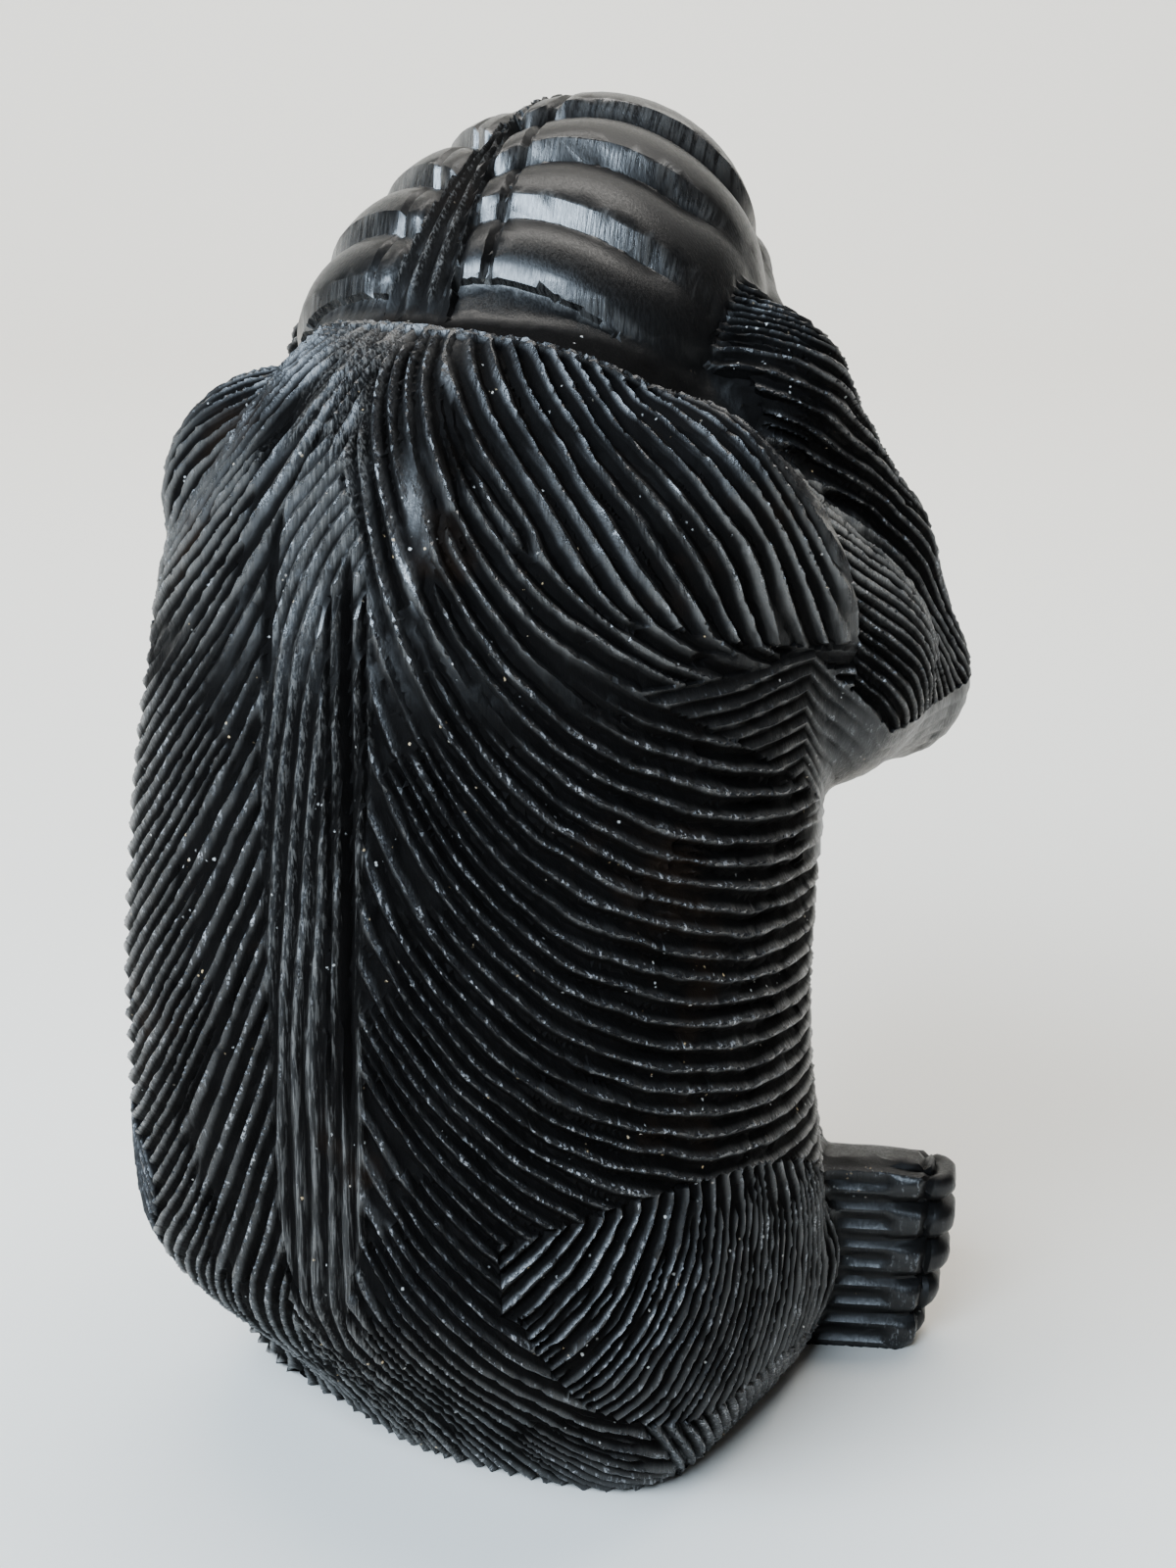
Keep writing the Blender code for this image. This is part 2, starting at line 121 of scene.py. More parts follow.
# Where the fields of fur run and meet. An arc is a distance round the torso from the spine.
SPINE_CLIMB, SPINE_CLIMB_ARC = 58.0, 20.0
SHOULDER_LEVEL, SHOULDER_MEETS, SHOULDER_LOW = 89.0, 3.0, 75.0
SHOULDER_PACE, SHOULDER_SLANT, SHOULDER_START = 0.8, 1.25, 137.2
ARMPIT_TOP, ELBOW_LOW = 93.5, 82.0
ELBOW_EDGE, ELBOW_SLANT = 98.1, 0.89
ARMPIT_EDGE, ARMPIT_SLANT, ARMPIT_START = 95.2, 0.48, 31.6
ARMPIT_ARCS = 31.0, 84.0
THIGH_TOP, THIGH_MIDDLE, THIGH_DOME = 39.4, 44.0, 0.0075
THIGH_RIM, THIGH_SLANT, THIGH_BEND, THIGH_FAN = 1.2, 2.5, 0.0215, 0.05
THIGH_FOOT, THIGH_FOOT_RISE, THIGH_FOOT_START, THIGH_FOOT_ARC = 9.0, 19.5, 26.0, 7.5
KNEE_START, KNEE_SLANT = 70.0, 0.2
THIGH_ARCS = 24.0, 95.0
THIGH_SUNK, SEAT_SUNK = 0.05, -0.2
SEAT_EDGE, SEAT_SLANT = 51.5, 0.9
FOREARM_BACK, FOREARM_FRONT = -11.5, -30.0
FOREARM_PACE, FOREARM_SLANT, FOREARM_EASE, FOREARM_HEIGHTS = 0.9, 1.05, 0.5, (85.0, 115.0)

# The scraped strip in front of the shoulder, the elbow and the bands under the arm
STRIP_BACK, STRIP_SHORT, STRIP_PAST, STRIP_HEIGHTS = 6.5, 0.5, 0.6, (90.0, 97.0)
ELBOW_ALONG, ELBOW_ACROSS, ELBOW_FOOT = (4.0, 17.0), (22.0, 27.0), 68.0
SCRAPED_AWAY = 0.8
UNDERARM_PITCH, UNDERARM_DEPTH, UNDERARM_SUNK = 1.75, 0.55, 0.4
UNDERARM_LEAN, UNDERARM_SLANT, UNDERARM_SMOOTH = 0.75, 0.04, 0.75

# The worn strip down the spine, with its deep grooves as place, half-width and depth
SPINE_DEPTH, SPINE_SUNK = 0.8, 0.3
SPINE_PLACE, SPINE_DRIFT, SPINE_BEND, SPINE_RUN, SPINE_POWER = -4.4, 7.2, 50.0, 65.0, 1.5
SPINE_HALF, SPINE_WIDER, SPINE_WIDEST, SPINE_SPREAD = 5.2, 1.5, 94.0, 22.0
SPINE_FOOT_HEIGHTS, SPINE_TOP_HEIGHTS, SPINE_EDGE = (12.0, 40.0), (106.0, 122.0), (-0.5, 0.5)
STRAND_PITCH, STRAND_DEPTH, STRAND_TURN = 1.9, 0.85, 0.018
SPINE_GROOVES = (-2.0, 0.7, 1.6), (-4.1, 1.15, 2.6), (-6.1, 0.65, 1.8)
GROOVE_FOOT_HEIGHTS, GROOVE_TOP_HEIGHTS = (38.0, 60.0), (100.0, 112.0)
GAP_PLACE, GAP_HALF, GAP_DEPTH, GAP_STEEP, GAP_HEIGHTS = -0.6, 1.3, 1.7, 1.6, (90.0, 97.0)

# The ledge where the back ends at the nape
LEDGE_BACK, LEDGE_CURVE, LEDGE_MIDDLE, LEDGE_HEIGHT = 11.6, 0.0245, -1.0, 116.0
LEDGE_DEPTH, LEDGE_EDGE, LEDGE_STEP = 1.6, (-0.25, 0.25), (0.1, 0.8)
LIP_PLACE, LIP_HALF, LIP_KEPT = -0.45, 0.6, 0.9

# Fingers from the lowest to the highest, as their edges along the head at the parting and how
# far each edge moves up away from it, and the hair between the hands
FINGERS_RIGHT, RIGHT_SPREAD = (-13.5, -5.3, 2.5, 13.0, 22.0), (3.6, 4.8, 8.8, 9.7, 9.0)
FINGERS_LEFT, LEFT_SPREAD = (-15.5, -8.6, -0.6, 8.4, 17.0), (0.8, 3.5, 5.0, 6.0, 8.0)
SPREAD_START, SPREAD_ARC = 2.0, 6.5
CHAMFERS = (2.0, 2.4, 2.3, 1.9)
FINGER_DEPTHS = (0.9, 1.6, 2.0, 2.2)
FINGER_DEPTH, FINGER_TOP, CROWN_DEPTH, LEAST_SWELL = 1.6, 0.1, 0.8, 1.0
KNUCKLE_ACROSS, KNUCKLE_LONGER, KNUCKLE_FLAT = (22.0, 28.0), 4.0, 0.85
TOP_FINGER_ALONG = 14.0, 20.0
TIP_DEPTH, TIP_ACROSS = 0.4, (0.0, 0.9)
NAIL_DEPTH, NAIL_LENGTH, NAIL_HALF = 0.9, 3.5, 0.7
HEEL_DEPTH, HEEL_RISE, HEEL_ALONG, HEEL_ACROSS, HEEL_SCRAPED = 1.15, 0.3, (1.0, 5.0), (-1.0, 2.0), 0.5
PARTING_PLACE, PARTING_SLANT, PARTING_END = 4.3, 0.12, 30.0
PARTING_HALF, PARTING_NARROW, PARTING_LEAST, PARTING_MOST = 2.3, 0.12, 0.6, 5.0
HAIR_DEPTH, HAIR_STRANDS, HAIR_POWER, HAIR_SUNK = 1.3, 3.0, 0.8, 0.1
SKULL_CUT_OUT = -8.0, 0.0

# Toes, tendons and toe nails along the foot
FIRST_TOE, TOE_PITCH, TOE_DEPTH, TOE_POWER, TOE_ALONG = -11.5, 5.0, 2.0, 3, (2.0, 8.0)
TENDON_PITCH, TENDON_DEPTH, TENDON_POWER = 2.5, 0.7, 1.6
TENDON_START_ALONG, TENDON_END_ALONG = (-9.0, -4.0), (3.0, 6.0)
TOE_NAIL, TOE_NAIL_SLANT, TOE_NAIL_HALF = 8.6, 0.4, 0.8
TOE_TIP_DEPTH, TOE_TIP_ALONG = 0.35, (8.6, 9.6)

# Mouth and nostrils, on the face
MOUTH_DEPTH, MOUTH_HEIGHT, MOUTH_CURVE = 1.4, -14.0, 0.012
LIP_GAP, MOUTH_CORNER, FACE_FRONT = (0.3, 1.2), (8.0, 10.0), -30.0
NOSTRIL_SIDE, NOSTRIL_HEIGHT, NOSTRIL_EDGE = 2.6, -7.5, (0.6, 1.6)

# How the skin is sampled and cut
GRID_LOW = np.array((-51.0, -65.0, -2.2))
GRID_HIGH = np.array((51.0, 45.0, 156.0))
GRID_STEP = 0.36
CELL, NEAR_CELLS, BATCHES, OUTSIDE = 4, 0.95, 8, 10.0
NOISE_CELLS = 32
TINY = 1e-9
TRIANGLES = 196000
FLAT_BELOW = 0.3
RISE_STEP, NORMAL_STEP = 0.2, 0.05
SHARE_BLEND, LEAST_SHARE = 0.35, 0.01
INNER_FADE = 0.3, 1.2
SHARP_ANGLE = math.radians(29.0)

# The regions in the order in which shares() gives them, with the hands last
TORSO, LEGS, ARMS, FOREARMS, FEET, HEAD, FACE = range(7)

# How polished, scraped or worn a place is, as shares, for the material, with a painted sheen high on
# the shoulders
FOOT_POLISH, STRIP_POLISH, HAIR_DULL = 0.7, 0.6, 0.5
SHEEN, SHEEN_START_HEIGHTS, SHEEN_END_HEIGHTS = 0.8, (90.0, 104.0), (112.0, 118.0)


def ramp(x, low, high):
    """From 0 to 1 as x goes from low to high, smoothly."""
    t = np.clip((x - low) / (high - low), 0.0, 1.0)
    return t * t * (3.0 - 2.0 * t)


def smooth_min(a, b, k):
    h = np.clip(0.5 + 0.5 * (b - a) / k, 0.0, 1.0)
    return b + (a - b) * h - k * h * (1.0 - h)


def smooth_max(a, b, k):
    return -smooth_min(-a, -b, k)


def noise(p, size, seed):
    """Smooth random values from -1 to 1 that change over this many units."""
    table = np.random.default_rng(seed).uniform(-1.0, 1.0, NOISE_CELLS**3)
    q = p / np.array(size)
    cell = np.floor(q).astype(np.int32)
    t = q - cell
    t = t * t * (3.0 - 2.0 * t)
    low = cell % NOISE_CELLS
    high = (cell + 1) % NOISE_CELLS
    tx, ty, tz = t[..., 0], t[..., 1], t[..., 2]
    planes = []
    for x in (low[..., 0], high[..., 0]):
        rows = []
        for y in (low[..., 1], high[..., 1]):
            row = (x * NOISE_CELLS + y) * NOISE_CELLS
            near, far = table[row + low[..., 2]], table[row + high[..., 2]]
            rows.append(near + (far - near) * tz)
        planes.append(rows[0] + (rows[1] - rows[0]) * ty)
    return planes[0] + (planes[1] - planes[0]) * tx


def wobble(p, most, size, seed):
    return most * noise(p, size, seed)


def ball(p, centre, radii):
    """Distance to an ellipsoid, close to true near its surface."""
    q = p - np.array(centre)
    r = np.array(radii) * np.ones(3)
    k0 = np.sqrt(((q / r) ** 2).sum(-1))
    k1 = np.sqrt(((q / r**2) ** 2).sum(-1)) + TINY
    return k0 * (k0 - 1.0) / k1


def limb(p, points, radii):
    """Distance to a chain of tapering round limbs."""
    found = None
    for a, b, ra, rb in zip(points, points[1:], radii, radii[1:]):
        a, b = np.array(a, float), np.array(b, float)
        along = ((p - a) @ (b - a)) / ((b - a) @ (b - a))
        t = np.clip(along, 0.0, 1.0)
        d = np.linalg.norm(p - a - t[..., None] * (b - a), axis=-1) - (ra + (rb - ra) * t)
        found = d if found is None else smooth_min(found, d, LIMB_BLEND)
    return found


def mirrored(p):
    q = p.copy()
    q[..., 0] = np.abs(q[..., 0])
    return q


def turned(p, degrees):
    """p turned about Z, the other way round from the thing that it is measured against."""
    c, s = np.cos(np.radians(degrees)), np.sin(np.radians(degrees))
    x, y, z = p[..., 0], p[..., 1], p[..., 2]
    return np.stack((c * x - s * y, s * x + c * y, z), -1)


def tucked(p):
    """The left haunch is cut away further than the right one, as the carver left it."""
    x, y, z = p[..., 0], p[..., 1], p[..., 2]
    left = ramp(x, *TUCK_ACROSS) * (1.0 - ramp(z, *TUCK_HEIGHTS))
    low = 1.0 - ramp(z, *TUCK_LOW_HEIGHTS)
    forward = (TUCK_FORWARD + TUCK_FORWARD_LOW * low) * left * ramp(y, *TUCK_ALONG)
    return np.stack((x * (1.0 + (TUCK_IN + TUCK_IN_LOW * low) * left), y + forward, z), -1)


def back_line(z):
    """How far the middle of the torso stands back at this height."""
    return BACK_PLACE - BACK_LEAN * ramp(z, *BACK_HEIGHTS)


def torso(p):
    """About the distance to the torso, squarish at the seat and round higher up."""
    x, y, z = p[..., 0], p[..., 1] - back_line(p[..., 2]), p[..., 2]
    low = 1.0 - ramp(z, *SEAT_HEIGHTS)
    square = SEAT_SQUARE - BODY_ROUNDER * ramp(z, *BODY_ROUND_HEIGHTS)
    square = square - SEAT_ROUNDER * ramp(z, *SEAT_ROUND_HEIGHTS)
    deep = np.where(y > 0.0, TORSO_DEEP - SEAT_SLOPE * low, TORSO_DEEP)
    wide = TORSO_WIDE * (1.0 - SHOULDER_NARROW * ramp(z, *SHOULDER_HEIGHTS))
    around = (np.abs(x / wide) ** square + np.abs(y / deep) ** square) ** (1.0 / square)
    n = np.where(z > TORSO_MIDDLE, TORSO_TOP_SQUARE, TORSO_LOW_SQUARE)
    reach = np.abs(z - TORSO_MIDDLE) / np.where(z > TORSO_MIDDLE, TORSO_UP, TORSO_DOWN)
    return ((around**n + reach**n) ** (1.0 / n) - 1.0) * TORSO_MEAN


def head_frame(p):
    """Across the head, out of its back, and along it from the nape to the forehead."""
    q = turned(p - np.array(HEAD_CENTRE), -HEAD_TURN)
    c, s = np.cos(np.radians(HEAD_TILT)), np.sin(np.radians(HEAD_TILT))
    x, out, along = q[..., 0], c * q[..., 1] + s * q[..., 2], c * q[..., 2] - s * q[..., 1]
    c, s = np.cos(np.radians(HEAD_ROLL)), np.sin(np.radians(HEAD_ROLL))
    return np.stack((c * x + s * along, out, c * along - s * x), -1)


def skull(p):
    """The head with the hands on it, narrowing towards the forehead."""
    h = head_frame(p)
    share = np.where(h[..., 0] < 0.0, HEAD_NARROW_RIGHT, HEAD_NARROW_LEFT)
    narrow = 1.0 + share * ramp(h[..., 2], *HEAD_NARROW_ALONG)
    same = np.ones_like(narrow)
    return ball(h * np.stack((narrow, same, same), -1), (0.0, 0.0, 0.0), HEAD_RADII)


def face_frame(p):
    """Across, back and up from the middle of the head, the same on both sides."""
    return mirrored(turned(p - np.array(HEAD_CENTRE), -HEAD_TURN))


def hand(p):
    """The heel of the hand over the ear and the thumb in front of it."""
    q = face_frame(p)
    return smooth_min(limb(q, *PALM), limb(q, *THUMB), THUMB_BLEND)


def face(p):
    """Brow, eyes and muzzle, in front of the hands."""
    q = face_frame(p)
    d = smooth_min(ball(q, FACE_CENTRE, FACE_RADII), limb(q, *BROW), BROW_BLEND)
    d = smooth_max(d, -ball(q, SOCKET_CENTRE, SOCKET_RADII), SOCKET_BLEND)
    d = smooth_min(d, ball(q, EYE_CENTRE, EYE_RADII), EYE_BLEND)
    d = smooth_min(d, ball(q, MUZZLE_CENTRE, MUZZLE_RADII), MUZZLE_BLEND)
    d = smooth_min(d, limb(q, *NOSE), NOSE_BLEND)
    return smooth_min(d, ball(q, CHIN_CENTRE, CHIN_RADII), CHIN_BLEND)


def foot_frame(q):
    """Along the foot towards its toes, through its sole, and up across it."""
    return turned(q - np.array(FOOT_CENTRE), FOOT_TURN)


def foot(q):
    """A slab on its outer edge, sole forward and toes out, shorter at the little toe."""
    f = foot_frame(q)
    none = 0.0 * f[..., 0]
    shorter = TOES_SHORT + TOES_CURVE * (f[..., 2] - LONGEST_TOE) ** 2
    half = np.array(FOOT_HALF) - np.stack((shorter, none, none), -1)
    d = np.abs(f) - half + FOOT_EDGE
    return np.linalg.norm(np.maximum(d, 0.0), axis=-1) + np.minimum(d.max(-1), 0.0) - FOOT_EDGE


def uncut_form(p):
    """Distance to the whole figure before its underside is cut flat."""
    p = tucked(p)
    q = mirrored(p)
    d = smooth_min(torso(p), limb(q, *LEG), LEG_BLEND)
    d = smooth_min(d, limb(q, *SHIN), SHIN_BLEND)
    d = smooth_min(d, foot(q), FOOT_BLEND)
    hands = smooth_min(hand(p), limb(q, *FOREARM), ARM_BLEND)
    arms = smooth_min(limb(q, *UPPER_ARM), hands, ARM_BLEND)
    d = smooth_min(d, arms, SHOULDER_BLEND)
    head = smooth_min(skull(p), face(p), HEAD_BLEND)
    return smooth_min(d, smooth_min(head, hand(p), HEAD_BLEND), NECK_BLEND)


def form(p):
    """Distance to the whole figure with its flat underside."""
    return np.maximum(uncut_form(p), -p[..., 2])


def ridge(level, pitch, power, lean):
    """1 on a sharp ridge and 0 in the valley, the flank above the ridge this share of the pitch."""
    t = level / pitch
    t = t - np.floor(t)
    near = np.where(t < lean, 1.0 - t / lean, (t - lean) / (1.0 - lean))
    return near**power


def groove(x, half):
    """1 at the bottom of a V-groove of this half-width and 0 outside it."""
    return np.clip(1.0 - np.abs(x) / half, 0.0, 1.0)


def surface_rise(level, p, normal):
    """How fast the level changes along the surface."""
    here = level(p)
    rise = np.stack([level(p + RISE_STEP * axis) - here for axis in np.eye(3)], -1) / RISE_STEP
    rise = rise - (rise * normal).sum(-1, keepdims=True) * normal
    return np.linalg.norm(rise, axis=-1)


def locks(level, p, normal, pitch, power, lean):
    """Fur locks along the lines of equal level, with every second one ending where they crowd.

    Each lock reads its noise at a place of its own, so that its depth differs from the next one's.
    """
    crowd = np.log2(surface_rise(level, p, normal) + LEAST_RISE) - CROWD_SHIFT
    crowd = crowd + wobble(p, *CROWD_WOBBLE)
    whole = np.clip(np.floor(crowd), FINEST, COARSEST)
    mix = ramp(crowd - whole, *MERGE_SHARES)
    wide = pitch * 2.0**whole
    value = level(p) + wobble(p, *LOCK_SWAY) + wobble(p, *LOCK_TREMOR)
    each = np.floor(value / wide + 0.5)
    apart = p + each[:, None] * np.array(LOCK_APART)
    deep = 1.0 + wobble(apart, *LOCK_DEPTHS)
    nicks = np.maximum(noise(p, NICK_SIZE, NICK_SEED) - NICK_FROM, 0.0)
    fine = ridge(value, wide, power, lean)
    merged = ridge(value, 2.0 * wide, power, lean)
    shape = (1.0 - mix) * fine + mix * merged
    return 1.0 - (1.0 - shape) * deep - NICK_DEPTH * nicks * shape


def arc_of(p):
    """Distance round the torso from the spine."""
    return TORSO_DEEP * np.arctan2(np.abs(p[..., 0]), p[..., 1] - back_line(p[..., 2]))


def back_level(p):
    """Locks leave the spine steeply and run level round the flanks, and fan over the shoulder."""
    arc, z = arc_of(p), p[..., 2]
    flank = z - SPINE_CLIMB * np.exp(-arc / SPINE_CLIMB_ARC)
    shoulder = SHOULDER_LEVEL + SHOULDER_PACE * (z + SHOULDER_SLANT * arc - SHOULDER_START)
    mix = ramp(flank, SHOULDER_LEVEL - SHOULDER_MEETS, SHOULDER_LEVEL + SHOULDER_MEETS)
    return flank + (shoulder - flank) * mix * (z > SHOULDER_LOW)


def elbow_line(y):
    """The lower edge of the upper arm and the forearm."""
    return np.clip(ELBOW_EDGE + ELBOW_SLANT * y, ELBOW_LOW, ARMPIT_TOP)


def armpit_line(arc):
    """The lower edge of the bands under the arm."""
    return ARMPIT_EDGE - ARMPIT_SLANT * (arc - ARMPIT_START)


def thigh_level(p):
    """Locks fan down and back from the top of the thigh."""
    drop = np.maximum(THIGH_TOP - THIGH_RIM - p[..., 2], 0.0)
    return (arc_of(p) + THIGH_SLANT * drop + THIGH_BEND * drop**2) / (1.0 + THIGH_FAN * drop)


def thigh_top(arc):
    return THIGH_TOP - THIGH_DOME * (arc - THIGH_MIDDLE) ** 2


def thigh_foot(arc):
    """The lower edge of the thigh, which rises towards the spine and falls towards the knee."""
    rise = THIGH_FOOT_RISE * np.exp(-np.maximum(arc - THIGH_FOOT_START, 0.0) / THIGH_FOOT_ARC)
    return THIGH_FOOT + rise - KNEE_SLANT * np.maximum(arc - KNEE_START, 0.0)


def seat_level(p):
    return arc_of(p) + SEAT_SLANT * p[..., 2]


def forearm_level(p):
    """Locks run down and forward, more steeply towards the elbow."""
    y, z = p[..., 1], p[..., 2]
    slant = FOREARM_SLANT - FOREARM_EASE * ramp(z, *FOREARM_HEIGHTS)
    return FOREARM_PACE * (z - slant * (y - FOREARM_FRONT))


def spine_middle(z):
    """Where the worn strip down the back has its middle, to the left of it higher up."""
    return SPINE_PLACE + SPINE_DRIFT * (np.maximum(z - SPINE_BEND, 0.0) / SPINE_RUN) ** SPINE_POWER


def spine_half(z):
    return SPINE_HALF + SPINE_WIDER * np.exp(-(((z - SPINE_WIDEST) / SPINE_SPREAD) ** 2))


def spine_cut(x, z, p):
    """Fine worn strands down the strip, three deep grooves at its right and a gap at its left."""
    turn = STRAND_TURN * np.maximum(z - SPINE_WIDEST, 0.0) ** 2
    strand = x + turn + wobble(p, *STRAND_SWAY)
    strands = 1.0 - ridge(strand, STRAND_PITCH, 1.0, LEAN_DOWN)
    cut = SPINE_DEPTH * (SPINE_SUNK + STRAND_DEPTH * strands + wobble(p, *STRAND_FIBRE))
    across = x - spine_middle(z)
    fade = ramp(z, *GROOVE_FOOT_HEIGHTS) * (1.0 - ramp(z, *GROOVE_TOP_HEIGHTS))
    sway = wobble(p * np.array((0.0, 0.0, 1.0)), *GROOVE_SWAY)
    for place, half, depth in SPINE_GROOVES:
        v = groove(across - place - sway, half)
        cut = np.maximum(cut, SPINE_DEPTH * depth * v * fade)
    gap = groove(across - spine_half(z) - GAP_PLACE, GAP_HALF) * ramp(z, *GAP_HEIGHTS)
    return np.maximum(cut, SPINE_DEPTH * GAP_DEPTH * np.minimum(GAP_STEEP * gap, 1.0))


def smooth_facet(p):
    """1 on the scraped strip where the shoulder meets the forearm and on the elbow."""
    x, y, z = p[..., 0], p[..., 1], p[..., 2]
    front = -FOREARM_BACK
    strip = ramp(-y, STRIP_BACK, front - STRIP_SHORT) * (1.0 - ramp(-y, front, front + STRIP_PAST))
    low = (z < elbow_line(y)) * (z > ELBOW_FOOT)
    elbow = ramp(-y, *ELBOW_ALONG) * low * ramp(x, *ELBOW_ACROSS)
    return np.maximum(strip * ramp(z, *STRIP_HEIGHTS), elbow)


def underarm_cut(p, arc):
    """Shallow bands along the upper edge of the armpit, gone towards the elbow."""
    drop = elbow_line(p[..., 1]) - p[..., 2] + wobble(p, *UNDERARM_SWAY) + UNDERARM_SLANT * arc
    band = 1.0 - ridge(-drop, UNDERARM_PITCH, 1.0, UNDERARM_LEAN)
    return UNDERARM_DEPTH * (UNDERARM_SUNK + band * (1.0 - UNDERARM_SMOOTH * smooth_facet(p)))


def back_cut(p, normal, arc, signed):
    """Furrows over the back and the flanks, with deeper flutes up the shoulders."""
    pitch = FUR_PITCH * BACK_PITCH
    own_pitch = np.where(signed > 0.0, LEFT_PITCH, 1.0) * pitch
    lean = np.where(signed > 0.0, LEFT_LEAN, LEAN_UP)
    flank = 1.0 - locks(back_level, p, normal, own_pitch, FUR_POWER, lean)
    flutes = 1.0 - locks(back_level, p, normal, FLUTE_PITCH * pitch, FLUTE_POWER, LEAN_DOWN)
    high = ramp(p[..., 2], *FLUTE_HEIGHTS) * ramp(arc, *FLUTE_ARCS)
    cut = FUR_DEPTH * (flank + (FLUTE_DEPTH * flutes - flank) * high)
    return cut * (1.0 - SCRAPED_AWAY * smooth_facet(p))


def ledge_cut(cut, p, signed):
    """The carving with the ledge at the nape: a kept lip, and a hollow inward of it."""
    nape = p[..., 2] > LEDGE_HEIGHT
    inward = LEDGE_BACK - LEDGE_CURVE * (signed - LEDGE_MIDDLE) ** 2 - p[..., 1]
    lip = groove(inward - LIP_PLACE, LIP_HALF) * nape
    over = ramp(inward, *LEDGE_EDGE) * nape
    hollow = LEDGE_DEPTH * (ramp(inward, *LEDGE_STEP) + wobble(p, *LEDGE_WOBBLE))
    return cut * (1.0 - LIP_KEPT * lip) * (1.0 - over) + hollow * over


def body_cut(p, normal, signed):
    """The torso and upper arms, with the armpit, the thigh and the seat as fields of their own."""
    arc, z = arc_of(p), p[..., 2]
    behind = p[..., 1] - back_line(z) > 0.0
    low_edge = thigh_foot(arc)
    thigh_back, thigh_front = THIGH_ARCS
    thigh = (z < thigh_top(arc)) & (z > low_edge) & (arc > thigh_back) & (arc < thigh_front)
    seat = (z <= low_edge) & (seat_level(p) > SEAT_EDGE) & (arc < thigh_front)
    cut = back_cut(p, normal, arc, signed)
    for inside, sunk, level in ((thigh, THIGH_SUNK, thigh_level), (seat, SEAT_SUNK, seat_level)):
        own = np.nonzero(inside)[0]
        ridges = 1.0 - locks(level, p[own], normal[own], FUR_PITCH, FUR_POWER, LEAN_DOWN)
        cut[own] = FUR_DEPTH * (ridges + sunk)
    armpit_back, armpit_front = ARMPIT_ARCS
    armpit = (z < elbow_line(p[..., 1])) & (z > armpit_line(arc))
    own = np.nonzero(armpit & (arc > armpit_back) & (arc < armpit_front))[0]
    cut[own] = underarm_cut(p[own], arc[own])
    cut = ledge_cut(cut, p, signed)
    half = spine_half(z) * (1.0 - ramp(z, *SPINE_TOP_HEIGHTS)) * ramp(z, *SPINE_FOOT_HEIGHTS)
    inside = ramp(half - np.abs(signed - spine_middle(z)), *SPINE_EDGE) * behind
    return cut * (1.0 - inside) + spine_cut(signed, z, p) * inside


def forearm_cut(q, normal):
    return FUR_DEPTH * (1.0 - locks(forearm_level, q, normal, FUR_PITCH, FUR_POWER, FOREARM_LEAN))


def arm_cut(p, normal, signed):
    """The forearm's locks in front, the shoulder's behind and the armpit's bands below."""
    y, z = p[..., 1], p[..., 2]
    cut = np.zeros(len(p))
    below = z < elbow_line(y)
    front = (y < FOREARM_BACK) & ~below
    back = ~front & ~below
    cut[front] = forearm_cut(p[front], normal[front])
    cut[back] = body_cut(p[back], normal[back], signed[back])
    cut[below] = underarm_cut(p[below], arc_of(p[below]))
    return cut


def foot_cut(q):
    """Five toes at the outer end of the foot, tendons along it and nails at its tips."""
    f = foot_frame(q)
    along, up = f[..., 0], f[..., 2]
    toe = (up - FIRST_TOE) / TOE_PITCH
    across = 2.0 * (toe - np.floor(toe)) - 1.0
    toes = TOE_DEPTH * np.abs(across) ** TOE_POWER * ramp(along, *TOE_ALONG)
    slot = ramp(along, *TENDON_START_ALONG) * (1.0 - ramp(along, *TENDON_END_ALONG))
    tendons = TENDON_DEPTH * (1.0 - ridge(up, TENDON_PITCH, TENDON_POWER, EVEN_LEAN)) * slot
    nail = NAIL_DEPTH * groove(along - TOE_NAIL - TOE_NAIL_SLANT * across, TOE_NAIL_HALF)
    return toes + tendons + nail + TOE_TIP_DEPTH * ramp(along, *TOE_TIP_ALONG)


def finger_edge(aside, side, rank):
    """Where one finger meets the next, at this distance from the parting."""
    spread = 1.0 - np.exp(-np.maximum(aside - SPREAD_START, 0.0) / SPREAD_ARC)
    right = FINGERS_RIGHT[rank] + RIGHT_SPREAD[rank] * spread
    left = FINGERS_LEFT[rank] + LEFT_SPREAD[rank] * spread
    return np.where(side < 0.0, right, left)


def finger_profile(rise, chamfer, wide, depth, next_depth):
    """How deep the cut is across one finger: a flat chamfer towards the nape, then a long swell."""
    steep = depth - (depth - FINGER_TOP) * rise / chamfer
    swell = np.clip((rise - chamfer) / (wide - chamfer), 0.0, 1.0)
    return np.where(rise < chamfer, steep, FINGER_TOP + (next_depth - FINGER_TOP) * swell**3)


def fingers_cut(along, edges):
    """The four fingers' profiles, and 1 on their chamfers."""
    cut = np.full_like(along, CROWN_DEPTH)
    facet = np.zeros_like(along)
    depths = FINGER_DEPTHS + (CROWN_DEPTH,)
    for rank, chamfer in enumerate(CHAMFERS):
        low, high = edges[rank], edges[rank + 1]
        wide = np.maximum(high - low, chamfer + LEAST_SWELL)
        within = (along >= low) & (along < high)
        profile = finger_profile(along - low, chamfer, wide, depths[rank], depths[rank + 1])
        cut = np.where(within, profile, cut)
        facet = facet + within * (along - low < chamfer)
    return cut, facet


